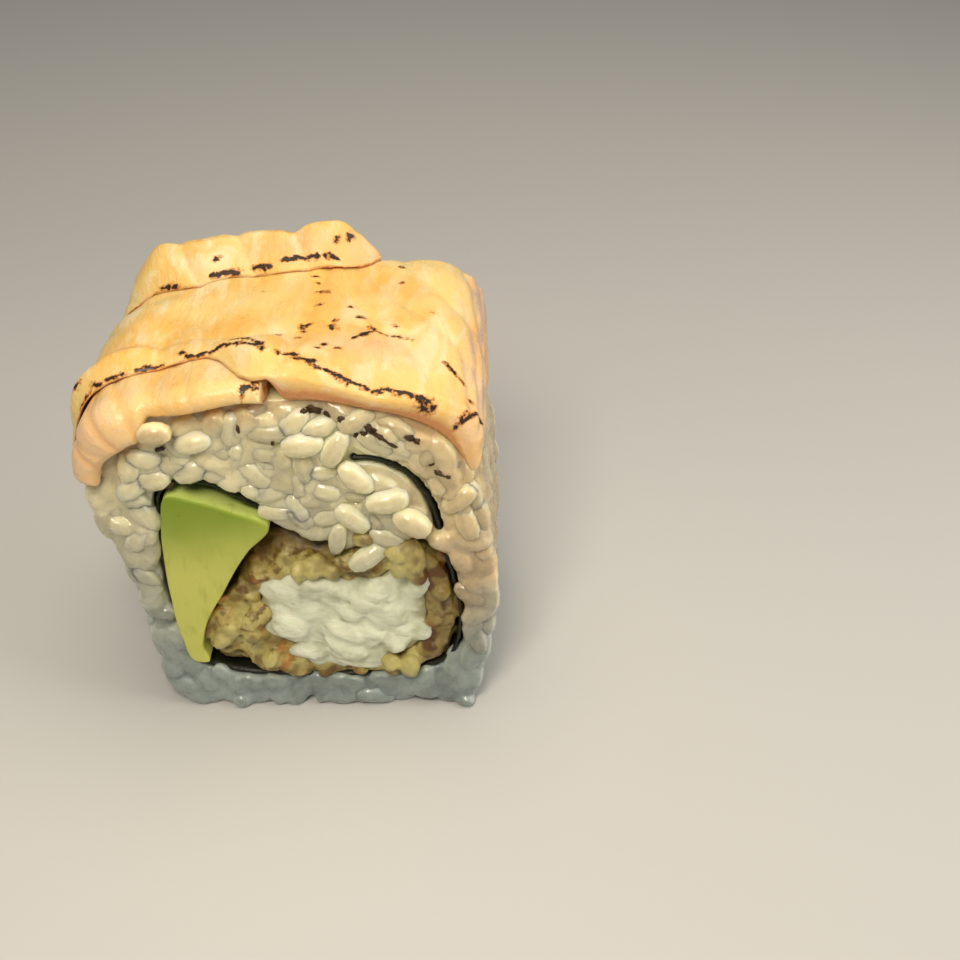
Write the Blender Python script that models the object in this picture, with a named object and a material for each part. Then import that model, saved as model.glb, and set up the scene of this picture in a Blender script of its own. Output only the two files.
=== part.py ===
"""One piece of an inside-out sushi roll, in metres, +Z up.

The roll's axis runs along Y, with the two knife cuts facing -Y (front) and +Y (back). Rice is the outer
layer. A seaweed sheet spirals inside it round an avocado wedge and a battered prawn, and three slices of
seared salmon lie over the top. The origin is the middle of the flat base. Sizes below are in millimetres.
"""

import math
import random

import bmesh
import bpy
import numpy as np

MM = 0.001

# Whole piece
LENGTH = 32.0  # along Y, between the knife cuts
FRONT = -LENGTH / 2
BACK = LENGTH / 2
GAP = 0.3  # kept between touching pieces
LEAN = 0.5  # how far the crown shifts sideways from the front cut to the back cut
SHOULDER_RISE = 3.2  # how much higher the right shoulder is at the back cut than at the front
CROWN_X = -1.0  # the top point, from which distances along the outline are measured

# Rice core, seen from the front as (x, z). The grains stand out from it.
RICE_OUTLINE = [
    (0.0, 0.0), (-12.0, 0.0), (-18.4, 0.0), (-21.0, 2.0), (-22.2, 8.5), (-23.7, 17.5), (-24.4, 27.0),
    (-25.9, 32.5), (-26.5, 37.5), (-25.9, 43.0), (-23.0, 47.9), (-15.5, 50.6), (-5.0, 51.8), (3.0, 51.6),
    (9.0, 50.3), (13.6, 48.9), (17.6, 46.5), (20.6, 42.4), (22.0, 37.0), (23.3, 30.0), (23.9, 17.0),
    (22.9, 8.0), (21.4, 2.0), (19.0, 0.0), (11.0, 0.0),
]
OUTLINE_STEPS = 66

# Seaweed sheet's centreline, from its outer end at the upper right, clockwise to its inner end
SEAWEED_PATH = [
    (6.4, 42.6), (10.2, 41.9), (13.8, 39.4), (16.2, 35.2), (17.5, 29.5), (19.0, 22.0), (19.9, 15.0),
    (18.5, 8.9), (14.4, 6.2), (6.0, 5.2), (-4.0, 5.2), (-12.0, 5.8), (-16.8, 8.0), (-18.9, 15.0),
    (-19.8, 24.5), (-19.6, 32.6), (-18.3, 38.1), (-15.2, 39.2), (-10.2, 37.6), (-5.4, 34.2), (-1.8, 31.0),
    (1.8, 29.0),
]
SEAWEED_THICK = 0.6
SEAWEED_STEPS = 62
SEAWEED_RECESS = 0.35  # behind each cut

# Lower edge of the rice that curls in over the prawn, from the seaweed's inner end to its right-hand wall
TONGUE_EDGE = [(4.6, 27.9), (7.6, 29.3), (10.8, 30.4), (13.6, 30.0)]
TONGUE_WALL_Z = 28.4

# Avocado wedge: skin side along the top, thin tip at the bottom
AVOCADO_OUTLINE = [
    (-17.3, 37.6), (-14.0, 36.9), (-9.6, 35.2), (-5.6, 32.6), (-8.0, 28.9), (-11.7, 21.4), (-14.6, 15.2),
    (-15.3, 11.0), (-14.9, 8.8), (-15.9, 9.0), (-17.6, 13.6), (-18.6, 20.0), (-18.9, 27.0), (-18.6, 33.0),
]
AVOCADO_STEPS = 32
AVOCADO_PROUD = 1.0  # stands out of the front cut
AVOCADO_FACE = 0.94  # its cut face's size, inside a narrow chamfer
AVOCADO_CHAMFER = 0.25

# Batter round the prawn: its outline at the front cut, where it leaves two gaps, and fuller further in
BATTER_FRONT = [
    (-14.6, 13.2), (-13.6, 17.0), (-10.4, 20.6), (-6.4, 23.6), (-1.6, 25.6), (4.0, 26.6), (9.0, 28.0),
    (13.4, 27.8), (16.2, 25.6), (18.0, 20.4), (18.6, 14.4), (17.0, 9.8), (13.4, 7.4), (6.0, 6.3), (-2.0, 6.4),
    (-7.6, 7.8), (-8.6, 10.6), (-11.8, 12.0),
]
BATTER_INSIDE = [
    (-14.0, 13.4), (-12.6, 17.6), (-9.8, 22.0), (-6.6, 27.4), (-2.6, 29.2), (3.4, 26.8), (8.4, 28.2),
    (13.0, 28.4), (16.2, 26.4), (18.0, 20.8), (18.7, 14.4), (17.2, 9.6), (13.4, 7.3), (6.0, 6.3), (-4.0, 6.4),
    (-11.2, 7.4), (-14.2, 9.4), (-14.9, 11.4),
]
BATTER_STEPS = 34
BATTER_RECESS = 0.9  # of its cut rim behind the rice's cut
BATTER_FULL_AT = 4.5  # depth at which the gaps have closed
BATTER_CRAG = 0.014  # how far its skin dips, as a share of its radius
BATTER_RIM = 0.5  # how far its cut rims wander along Y

# Prawn flesh
PRAWN_OUTLINE = [
    (-6.6, 17.0), (-6.2, 20.6), (-3.6, 22.8), (0.6, 23.4), (4.6, 22.6), (8.4, 23.0), (11.6, 24.0),
    (14.0, 21.8), (14.6, 17.0), (14.4, 12.4), (11.4, 9.6), (5.0, 9.0), (-1.0, 9.6), (-4.8, 12.2),
]
PRAWN_DOME = 1.1  # how far its torn cut stands out of the batter's rim
PRAWN_ROUGH = 0.35

# Grains of cooked rice
GRAIN_LENGTH = 5.8
GRAIN_WIDTH = 3.2
GRAIN_SIDES = 5
GRAIN_RINGS = 3
GRAIN_SPACING = 3.9
SALMON_CLEAR = 0.35  # between a grain on a cut and the outline under the salmon
GRAIN_OVERHANG = 0.9  # of a grain on a cut past the core's outline, below the salmon
GRAIN_PROUD = 0.35  # of its middle above the core
GRAIN_TRIES = 2400  # places drawn on each cut, and a third as many on each flank
HOLE_CLEAR = 0.12  # between a grain on a cut and the hole for the filling
GROUND_CLEAR = 0.4
SALMON_EDGE_Z = (34.5, 40.5)  # above these, on the left and the right, salmon lies on the rice
LOOSE_GRAINS = [(12.0, 36.6, 8.0), (12.9, 33.2, -32.0), (8.6, 31.6, 28.0)]  # (x, z, turn in degrees)

# Crumbs on the batter's rim
CRUMB_SIZES = (1.1, 2.1)
CRUMB_SPACING = 3.5
CRUMB_TRIES = 1500
CRUMB_LEAST = 0.9  # length
CRUMB_OFF_GRAINS = 4.2  # from the loose grains

# Salmon slices: distances along the outline from the crown, left negative, and thicknesses
MAIN_LEFT, MAIN_RIGHT = -31.6, 26.5
MAIN_THICK = 3.4
MAIN_SETBACK = 5.6  # of its front edge behind the cut, where the front slice comes out from under it
MAIN_CORNER = 2.6  # how much further forward that edge comes at the left corner
FLAP_LEFT, FLAP_RIGHT = -31.8, -2.6
FLAP_THICK = 2.5
FLAP_BACK = -6.5
FLAP_HANG, FLAP_CORNER_HANG = 1.2, 3.2  # past the front cut, and more at its left corner
FLAP_DROP, FLAP_CORNER_DROP = 0.6, 2.6  # how far it comes down the rice's face, and more at that corner
RIDGE_LEFT, RIDGE_RIGHT = -21.6, 8.0
RIDGE_FRONT = 8.0
RIDGE_THICK = 3.4
RIDGE_SWELL = 2.6  # more at its right end
SALMON_OVERHANG = 0.7  # past the back cut
RICE_GAP = 0.42  # under the slices, whose facets cut the corners of the rice's outline
LAYER_GAP = 0.55  # between slices, whose facets don't match
EDGE_ROUND = 1.3  # width over which a slice thins towards its edge
EDGE_SHARE = 0.62  # of its thickness left at the edge
GROOVE_PITCH = 6.2
GROOVE_DEPTH = 0.3
UNEVEN = 0.06  # how much a slice's thickness wanders, as a share of it


def smooth_curve(points, closed, steps):
    """Evenly spaced points along a smooth curve through the given ones."""
    points = np.array(points, float)
    count = len(points)
    wrapped = points if not closed else np.vstack([points, points[:1]])
    gaps = np.linalg.norm(np.diff(wrapped, axis=0), axis=1)
    tangents = np.zeros_like(wrapped)
    for i in range(len(wrapped)):
        before = i - 1 if i else (count - 1 if closed else 0)
        after = i + 1 if i + 1 < len(wrapped) else (1 if closed else i)
        here = wrapped[i]
        gap_in = np.linalg.norm(here - wrapped[before]) or 1.0
        gap_out = np.linalg.norm(wrapped[after] - here) or 1.0
        slope_in = (here - wrapped[before]) / gap_in
        slope_out = (wrapped[after] - here) / gap_out
        tangents[i] = (slope_in * gap_out + slope_out * gap_in) / (gap_in + gap_out)
    fine = []
    for i, gap in enumerate(gaps):
        for t in np.linspace(0, 1, 16, endpoint=False):
            fine.append(
                (2 * t**3 - 3 * t**2 + 1) * wrapped[i]
                + (t**3 - 2 * t**2 + t) * gap * tangents[i]
                + (3 * t**2 - 2 * t**3) * wrapped[i + 1]
                + (t**3 - t**2) * gap * tangents[i + 1]
            )
    fine.append(wrapped[-1])
    return evenly(np.array(fine), closed, steps)


def evenly(line, closed, steps):
    """The line's points respaced at equal distances, without repeating the first one on a closed line."""
    along = np.concatenate([[0], np.cumsum(np.linalg.norm(np.diff(line, axis=0), axis=1))])
    wanted = np.linspace(0, along[-1], steps, endpoint=not closed)
    return np.column_stack([np.interp(wanted, along, line[:, k]) for k in range(2)])


def left_normals(line, closed):
    """Unit vectors to the left of the way along the line."""
    if closed:
        ahead = np.roll(line, -1, axis=0) - np.roll(line, 1, axis=0)
    else:
        ahead = np.gradient(line, axis=0)
    ahead /= np.linalg.norm(ahead, axis=1)[:, None]
    return np.column_stack([-ahead[:, 1], ahead[:, 0]])


def ripple(*phases):
    """A smooth wave between -1 and 1 from several slow ones, the same each run."""
    return sum(math.sin(p * (1.0 + 0.37 * k) + 1.7 * k) for k, p in enumerate(phases)) / len(phases)


def inside_loop(point, loop):
    """Whether the point lies within the closed loop."""
    x, z = point
    a, b = loop, np.roll(loop, -1, axis=0)
    crosses = (a[:, 1] > z) != (b[:, 1] > z)
    at = a[:, 0] + (z - a[:, 1]) / np.where(crosses, b[:, 1] - a[:, 1], 1.0) * (b[:, 0] - a[:, 0])
    return bool(np.count_nonzero(crosses & (x < at)) % 2)


def distance_to_loop(point, loop):
    """Distance from the point to the nearest stretch of the closed loop."""
    a, b = loop, np.roll(loop, -1, axis=0)
    way = b - a
    share = np.clip(((point - a) * way).sum(1) / (way**2).sum(1), 0, 1)
    return float(np.linalg.norm(point - a - share[:, None] * way, axis=1).min())


def settle(x, y, z):
    """The roll's slight lean and slump, the same for every piece, which leaves the base flat."""
    height = max(z, 0.0) / 50.0
    depth = y / BACK
    share = (depth + 1) / 2
    shifted = x + LEAN * height * share + 0.25 * height * math.sin(2.2 * depth + x / 14.0)
    raised = z * (1 + 0.012 * math.sin(1.5 * depth + 0.6 + x / 17.0) - 0.008)
    raised += SHOULDER_RISE * blend(z, 28.0, 44.0) * blend(x, 4.0, 21.0) * share
    return (shifted * MM, y * MM, raised * MM)


def make_object(name, points, faces, colour, roughness, settled=True):
    """An object with this mesh and its own plain material."""
    place = settle if settled else (lambda x, y, z: (x * MM, y * MM, z * MM))
    mesh = bpy.data.meshes.new(name)
    mesh.from_pydata([place(*p) for p in points], [], faces)
    tidy = bmesh.new()
    tidy.from_mesh(mesh)
    bmesh.ops.remove_doubles(tidy, verts=tidy.verts, dist=1e-7)
    bmesh.ops.recalc_face_normals(tidy, faces=tidy.faces)
    tidy.to_mesh(mesh)
    tidy.free()
    made = bpy.data.objects.new(name, mesh)
    bpy.context.scene.collection.objects.link(made)
    paint(made, colour, roughness)
    return made


def paint(obj, colour, roughness):
    """Gives the object a Principled BSDF of this colour."""
    material = bpy.data.materials.new(obj.name)
    material.use_nodes = True
    shader = material.node_tree.nodes["Principled BSDF"]
    shader.inputs["Base Color"].default_value = (*colour, 1.0)
    shader.inputs["Roughness"].default_value = roughness
    obj.data.materials.append(material)
    obj.data.shade_smooth()
    obj.data.set_sharp_from_angle(angle=math.radians(50))


class Loops:
    """The closed lines that the layers share, each as (x, z) points."""

    def __init__(self):
        self.outline = smooth_curve(RICE_OUTLINE, True, OUTLINE_STEPS)
        self.outline[:, 1] = np.maximum(self.outline[:, 1], 0.0)
        self.path = smooth_curve(SEAWEED_PATH, False, SEAWEED_STEPS)
        self.sides = left_normals(self.path, False)
        self.hole = self.hole_in_rice()

    def seaweed_side(self, offset, reach):
        """The seaweed's centreline moved sideways, with both ends carried on by the reach."""
        line = self.path + offset * self.sides
        ways = (line[0] - line[1], line[-1] - line[-2])
        first = line[0] + reach * ways[0] / np.linalg.norm(ways[0])
        last = line[-1] + reach * ways[1] / np.linalg.norm(ways[1])
        return np.vstack([first, line, last])

    def hole_in_rice(self):
        """Round the seaweed and the filling, with the rice tongue curling in from the open end."""
        clear = SEAWEED_THICK / 2 + GAP
        outer = self.seaweed_side(clear, GAP)
        inner = self.seaweed_side(-clear, GAP)
        wall = next(i for i, p in enumerate(inner) if p[0] > 12 and p[1] < TONGUE_WALL_Z)
        edge = smooth_curve([outer[-1], *TONGUE_EDGE, inner[wall]], False, 14)[1:-1]
        return np.vstack([outer, edge, inner[wall::-1]])


def prism_with_hole(outer, hole):
    """Points and faces of a bar along Y whose section lies between two closed lines."""
    curve = bpy.data.curves.new("section", "CURVE")
    curve.dimensions = "2D"
    curve.fill_mode = "BOTH"
    curve.extrude = LENGTH / 2
    for loop in (outer, hole):
        spline = curve.splines.new("POLY")
        spline.points.add(len(loop) - 1)
        spline.points.foreach_set("co", np.column_stack([loop, np.zeros((len(loop), 2))]).ravel())
        spline.use_cyclic_u = True
    holder = bpy.data.objects.new("section", curve)
    bpy.context.scene.collection.objects.link(holder)
    mesh = bpy.data.meshes.new_from_object(holder.evaluated_get(bpy.context.evaluated_depsgraph_get()))
    points = [(v.co.x, v.co.z, v.co.y) for v in mesh.vertices]
    faces = [tuple(p.vertices) for p in mesh.polygons]
    bpy.data.objects.remove(holder)
    return points, faces


def lofted_bar(rings, hole_rings=None):
    """A bar through closed rings of equal point counts, capped or with a hole through hole_rings."""
    count = len(rings[0])
    points = [p for ring in rings for p in ring]
    faces = band(0, len(rings), count)
    last = (len(rings) - 1) * count
    if hole_rings is None:
        return points, [*faces, tuple(range(count)), tuple(range(last, last + count))]
    start = len(points)
    points += [p for ring in hole_rings for p in ring]
    faces += band(start, len(hole_rings), count)
    far = start + (len(hole_rings) - 1) * count
    for k in range(count):
        after = (k + 1) % count
        faces.append((k, after, start + after, start + k))
        faces.append((last + k, far + k, far + after, last + after))
    return points, faces


def band(start, rows, count):
    """Quads between consecutive rings of points."""
    return [
        (start + r * count + k, start + r * count + (k + 1) % count,
         start + (r + 1) * count + (k + 1) % count, start + (r + 1) * count + k)
        for r in range(rows - 1)
        for k in range(count)
    ]


def domed_cap(loop, y_edge, rise, rough):
    """Rings that close a loop with an uneven dome; rise is signed along Y."""
    centre = loop.mean(axis=0)
    rings = []
    for share in (0.7, 0.25):
        ring = []
        for p in loop:
            x, z = centre + share * (p - centre)
            lift = rise * (1 - share**2) + rough * ripple(x / 1.4 + z / 3, z / 1.6 - x / 4)
            ring.append((x, y_edge + lift, z))
        rings.append(ring)
    return rings


def at_depth(loop, y):
    """The loop's points at one place along Y."""
    return [(x, y, z) for x, z in loop]


def grain_mesh(length, width, sides=GRAIN_SIDES):
    """A plump grain along X, slightly squarer than an ellipsoid."""
    points = [(-length / 2, 0.0, 0.0)]
    for r in range(1, GRAIN_RINGS):
        angle = math.pi * r / GRAIN_RINGS
        x = -length / 2 * math.cos(angle)
        girth = width / 2 * math.sin(angle) ** 0.8
        for k in range(sides):
            turn = 2 * math.pi * (k + r / 2) / sides
            points.append((x, girth * math.cos(turn), girth * 0.9 * math.sin(turn)))
    points.append((length / 2, 0.0, 0.0))
    last = len(points) - 1
    faces = [(0, 1 + (k + 1) % sides, 1 + k) for k in range(sides)]
    faces += [(last, last - sides + k, last - sides + (k + 1) % sides) for k in range(sides)]
    for r in range(GRAIN_RINGS - 2):
        for k in range(sides):
            a, b = 1 + r * sides + k, 1 + r * sides + (k + 1) % sides
            faces += [(a, b, a + sides), (b, b + sides, a + sides)]
    return np.array(points), faces


def placed(points, centre, along, out):
    """The shape turned so that its X runs along one direction and its Z points out of the surface."""
    along = np.array(along, float) / np.linalg.norm(along)
    out = np.array(out, float) - np.dot(out, along) * along
    out /= np.linalg.norm(out)
    across = np.cross(out, along)
    return np.array(centre) + points @ np.array([along, across, out])


def fuse(target, shapes):
    """Joins the shapes to the target with one Boolean union, and keeps only its outer skin."""
    group = bpy.data.collections.new(target.name + "_bits")
    bpy.context.scene.collection.children.link(group)
    for points, faces in shapes:
        mesh = bpy.data.meshes.new("bit")
        mesh.from_pydata([tuple(p * MM) for p in points], [], faces)
        tidy = bmesh.new()
        tidy.from_mesh(mesh)
        bmesh.ops.recalc_face_normals(tidy, faces=tidy.faces)
        tidy.to_mesh(mesh)
        tidy.free()
        group.objects.link(bpy.data.objects.new("bit", mesh))
    joint = target.modifiers.new("fuse", "BOOLEAN")
    joint.operation = "UNION"
    joint.operand_type = "COLLECTION"
    joint.collection = group
    joint.solver = "EXACT"
    bpy.context.view_layer.update()
    mesh = bpy.data.meshes.new_from_object(target.evaluated_get(bpy.context.evaluated_depsgraph_get()))
    target.modifiers.clear()
    for bit in list(group.objects):
        bpy.data.objects.remove(bit)
    bpy.data.collections.remove(group)
    target.data = mesh
    keep_largest_skin(target)


def keep_largest_skin(obj):
    """Drops loose scraps and the walls of sealed hollows, which fills them."""
    mesh = bmesh.new()
    mesh.from_mesh(obj.data)
    bmesh.ops.remove_doubles(mesh, verts=mesh.verts, dist=1e-7)
    bmesh.ops.dissolve_degenerate(mesh, edges=mesh.edges, dist=1e-7)
    bmesh.ops.triangulate(mesh, faces=mesh.faces)
    unseen, skins = set(mesh.verts), []
    while unseen:
        skin, border = set(), [unseen.pop()]
        while border:
            vert = border.pop()
            skin.add(vert)
            for edge in vert.link_edges:
                other = edge.other_vert(vert)
                if other in unseen:
                    unseen.remove(other)
                    border.append(other)
        skins.append(skin)
    largest = max(skins, key=len)
    bmesh.ops.delete(mesh, geom=[v for v in mesh.verts if v not in largest], context="VERTS")
    mesh.to_mesh(obj.data)
    mesh.free()


def settle_mesh(obj):
    """Leans and slumps a finished mesh like every other piece."""
    for vert in obj.data.vertices:
        vert.co = settle(*(c / MM for c in vert.co))


def spread(candidates, spacing):
    """Keeps each candidate (place, turn) that is far enough from those kept before it."""
    kept = []
    for place, turn in candidates:
        if all(np.linalg.norm(place - other) > spacing for other, _ in kept):
            kept.append((place, turn))
    return kept


def grain_rim(place, turn):
    """Eight points round a grain lying flat on a cut."""
    way = np.array([math.cos(turn), math.sin(turn)])
    across = np.array([-way[1], way[0]])
    half = GRAIN_LENGTH / 2, GRAIN_WIDTH / 2
    rim = [place + side * half[0] * way for side in (-1, 1)]
    rim += [place + side * half[1] * across for side in (-1, 1)]
    rim += [place + a * 0.6 * half[0] * way + b * 0.8 * half[1] * across for a in (-1, 1) for b in (-1, 1)]
    return rim


def fits_on_cut(rim, loops, side):
    """Whether the grain keeps off the hole, off the ground and off the salmon round the upper edge."""
    for point in rim:
        if point[1] < GROUND_CLEAR or inside_loop(point, loops.hole):
            return False
        if distance_to_loop(point, loops.hole) < HOLE_CLEAR:
            return False
        under_salmon = point[1] > SALMON_EDGE_Z[int(point[0] > 0)]
        needed = SALMON_CLEAR
        if side == FRONT and point[0] < FLAP_RIGHT + 1.5:
            needed += FLAP_DROP + FLAP_CORNER_DROP * blend(-point[0], 13.0, 20.0)
        margin = distance_to_loop(point, loops.outline)
        if inside_loop(point, loops.outline):
            if under_salmon and margin < needed:
                return False
        elif under_salmon or margin > GRAIN_OVERHANG:
            return False
    return True


def grains_on_cut(loops, draw, side):
    """Grains on one knife cut, turned to follow the outline where they fit no other way."""
    low, high = loops.outline.min(axis=0), loops.outline.max(axis=0)
    candidates = []
    if side == FRONT:
        candidates = [(np.array([x, z]), math.radians(turn)) for x, z, turn in LOOSE_GRAINS]
    for _ in range(GRAIN_TRIES):
        place = np.array([draw.uniform(low[0], high[0]), draw.uniform(low[1], high[1])])
        nearest = int(np.linalg.norm(loops.outline - place, axis=1).argmin())
        way = np.roll(loops.outline, -1, axis=0)[nearest] - loops.outline[nearest]
        turns = (draw.uniform(0, math.pi), math.atan2(way[1], way[0]) + draw.uniform(-0.25, 0.25))
        if not inside_loop(place, loops.outline) or inside_loop(place, loops.hole):
            continue
        for turn in turns:
            if fits_on_cut(grain_rim(place, turn), loops, side):
                candidates.append((place, turn))
                break
    shapes = []
    outward = -1 if side == FRONT else 1
    for place, turn in spread(candidates, GRAIN_SPACING):
        length = GRAIN_LENGTH * draw.uniform(0.88, 1.08)
        points, faces = grain_mesh(length, GRAIN_WIDTH * draw.uniform(0.9, 1.1))
        centre = (place[0], side + outward * draw.uniform(0.0, 2 * GRAIN_PROUD), place[1])
        along = (math.cos(turn), draw.uniform(-0.2, 0.2), math.sin(turn))
        shapes.append((placed(points, centre, along, (0, outward, 0)), faces))
    return shapes


def grains_on_flank(drape, draw, first, last):
    """Grains on the left or right flank between two distances along the outline."""
    candidates = []
    for _ in range(GRAIN_TRIES // 3):
        place = np.array([draw.uniform(first, last), draw.uniform(FRONT + 2.0, BACK - 2.0)])
        candidates.append((place, draw.uniform(0, math.pi)))
    shapes = []
    for (s, y), turn in spread(candidates, GRAIN_SPACING + 0.2):
        length = GRAIN_LENGTH * draw.uniform(0.88, 1.08)
        points, faces = grain_mesh(length, GRAIN_WIDTH * draw.uniform(0.9, 1.1))
        x, z, out_x, out_z = drape.section(s)
        centre = (x + out_x * GRAIN_PROUD * 0.6, y, z + out_z * GRAIN_PROUD * 0.6)
        if abs(y) + abs(math.sin(turn)) * length / 2 > BACK - GROUND_CLEAR:
            turn = draw.uniform(-0.3, 0.3)
        along = (out_z * math.cos(turn), math.sin(turn), -out_x * math.cos(turn))
        turned = placed(points, centre, along, (out_x, 0, out_z))
        if turned[:, 2].min() > GROUND_CLEAR / 2:
            shapes.append((turned, faces))
    return shapes


class Drape:
    """Places on the rice's outer skin: distance s along it from the crown, height above it, and y."""

    def __init__(self, outline):
        line = np.vstack([outline, outline[:1]])
        along = np.concatenate([[0], np.cumsum(np.linalg.norm(np.diff(line, axis=0), axis=1))])
        upper = np.where(line[:, 1] > 40)[0]
        crown = np.interp(CROWN_X, line[upper, 0], along[upper])
        out = left_normals(outline, True)
        self.s = along - crown
        self.line = line
        self.out = np.vstack([out, out[:1]])

    def section(self, s):
        """(x, z, outward x, outward z) at that distance from the crown."""
        x, z = (np.interp(s, self.s, self.line[:, k]) for k in range(2))
        out_x, out_z = (np.interp(s, self.s, self.out[:, k]) for k in range(2))
        size = math.hypot(out_x, out_z)
        return x, z, out_x / size, out_z / size

    def place(self, s, height, y, middle):
        """The point there. Past the front cut the slice rolls over the rice's edge and down its face."""
        over = FRONT - y
        if over > 0:
            angle = min(over / middle, math.pi / 2)
            rest = max(over - middle * math.pi / 2, 0.0)
            y = FRONT - height * math.sin(angle)
            height = height * math.cos(angle) - rest
        x, z, out_x, out_z = self.section(s)
        return (x + out_x * height, y, z + out_z * height)


def blend(value, low, high):
    """0 below low, 1 above high, and smooth between."""
    share = min(max((value - low) / (high - low), 0.0), 1.0)
    return share * share * (3 - 2 * share)


def bump(value, middle, width):
    """1 at the middle, falling away to both sides."""
    return math.exp(-(((value - middle) / width) ** 2))


class Slice:
    """A slice of salmon on the drape, told by where its edges lie, its underside and its thickness."""

    thick = MAIN_THICK
    grid = (24, 10)
    middle_s = 0.0

    def left(self, y):
        raise NotImplementedError

    def right(self, y):
        raise NotImplementedError

    def front(self, s):
        raise NotImplementedError

    def back(self, s):
        return BACK + SALMON_OVERHANG + 0.5 * math.sin(s / 3.7 + self.thick)

    def under(self, s, y):
        """Height of its underside above the rice."""
        return RICE_GAP

    def swell(self, s, y):
        """Its thickness there as a share of the usual."""
        return 1.0

    def tallest(self, s, y):
        """The most that its thickness there can be, which the next slice up stays clear of."""
        return self.thick * self.swell(s, y) * (1 + UNEVEN)

    def top(self, s, y):
        """Height of its upper face above the rice."""
        return self.under(s, y) + self.thickness(s, y)

    def thickness(self, s, y):
        """Thickness there, less towards the edge and in the grooves between flakes of muscle."""
        inset = max(min(s - self.left(y), self.right(y) - s, y - self.front(s), self.back(s) - y), 0.0)
        rounded = math.sqrt(1 - (1 - min(inset / EDGE_ROUND, 1.0)) ** 2)
        groove = abs(math.sin(math.pi * (s * 0.85 + y * 0.5 + 1.6 * math.sin(y / 6.0)) / GROOVE_PITCH))
        uneven = 1 + UNEVEN * ripple(s / 3.1, y / 2.7, s / 5 + y / 4)
        full = self.thick * self.swell(s, y) * uneven - GROOVE_DEPTH * (1 - groove) ** 2
        return full * (EDGE_SHARE + (1 - EDGE_SHARE) * rounded)

    def spot(self, u, v):
        """(s, y) at shares u across and v from front to back."""
        rough = self.front(self.middle_s) + (self.back(self.middle_s) - self.front(self.middle_s)) * v
        s = self.left(rough) + (self.right(rough) - self.left(rough)) * u
        return s, self.front(s) + (self.back(s) - self.front(s)) * v

    def solid(self, drape):
        """Points and faces of the closed slice, both faces split alike."""
        columns, rows = self.grid
        top, base = [], []
        for j in range(rows + 1):
            for i in range(columns + 1):
                s, y = self.spot(i / columns, j / rows)
                under = self.under(s, y)
                middle = under + self.thick / 2
                base.append(drape.place(s, under, y, middle))
                top.append(drape.place(s, self.top(s, y), y, middle))
        wide, size = columns + 1, len(top)
        faces = []
        for j in range(rows):
            for i in range(columns):
                a, b, c, d = j * wide + i, j * wide + i + 1, (j + 1) * wide + i + 1, (j + 1) * wide + i
                faces += [(a, b, c), (a, c, d)]
                faces += [(size + a, size + c, size + b), (size + a, size + d, size + c)]
        rim = [j * wide for j in range(rows)] + [rows * wide + i for i in range(columns)]
        rim += [j * wide + columns for j in range(rows, 0, -1)] + list(range(columns, 0, -1))
        for a, b in zip(rim, rim[1:] + rim[:1]):
            faces += [(a, b, size + b), (a, size + b, size + a)]
        return top + base, faces


class FrontFlap(Slice):
    """The lowest slice, over the front left corner, hanging lowest at the corner itself."""

    thick = FLAP_THICK
    grid = (17, 7)
    middle_s = -16.0

    def left(self, y):
        return FLAP_LEFT + 0.4 * math.sin(y / 1.7)

    def right(self, y):
        return FLAP_RIGHT + 0.2 * math.sin(y / 1.3)

    def front(self, s):
        hang = FLAP_HANG + FLAP_CORNER_HANG * (1 - blend(s, -29.0, -19.0)) + 0.45 * math.sin(s / 2.6)
        return FRONT - hang

    def back(self, s):
        return FLAP_BACK + 0.8 * math.sin(s / 5.0)

    def swell(self, s, y):
        return 1 + 0.15 * bump(s, -22.0, 4.0) - 0.4 * blend(-s, 24.0, 31.0) - 0.35 * blend(y, -14.0, -8.0)

    def reach(self, s, y):
        """1 where this slice lies under the next one, 0 clear of it."""
        across = 1 - blend(s, FLAP_RIGHT + 0.5, FLAP_RIGHT + 2.8)
        return across * (1 - blend(y, FLAP_BACK + 1.2, FLAP_BACK + 5.4))


class MainSlice(Slice):
    """The large slice over the crown and both shoulders. Its front edge lies back on the left."""

    thick = MAIN_THICK
    grid = (23, 9)

    def __init__(self, flap):
        self.flap = flap

    def left(self, y):
        return MAIN_LEFT + 0.6 * math.sin(y / 2.9)

    def right(self, y):
        return MAIN_RIGHT + 1.0 * math.sin(y / 5.2 + 0.5)

    def front(self, s):
        setback = MAIN_SETBACK * (1 - blend(s, -10.0, -3.4)) - MAIN_CORNER * (1 - blend(s, -28.0, -16.0))
        return FRONT - 0.6 + setback + 0.3 * math.sin(s / 2.3)

    def under(self, s, y):
        return RICE_GAP + self.flap.reach(s, y) * (self.flap.tallest(s, y) + LAYER_GAP)

    def swell(self, s, y):
        crest = 0.38 * bump(s, 0.5, 3.4) * (1 - blend(y, -13.0, -5.0))
        left_shoulder = 0.5 * bump(s, -20.5, 5.0) * (1 - blend(y, 3.0, 8.0)) - 0.35 * blend(-s, 24.0, 30.0)
        right_shoulder = (0.25 + 0.5 * blend(y, -8.0, 10.0)) * bump(s, 19.5, 4.4)
        right_shoulder -= 0.45 * blend(s, 20.5, 26.0)
        front = 0.16 * bump(s, 10.0, 6.0) * (1 - blend(y, -14.0, -8.0))
        return (1 + crest + left_shoulder + right_shoulder - front) * (1 - 0.42 * self.flap.reach(s, y))


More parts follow.
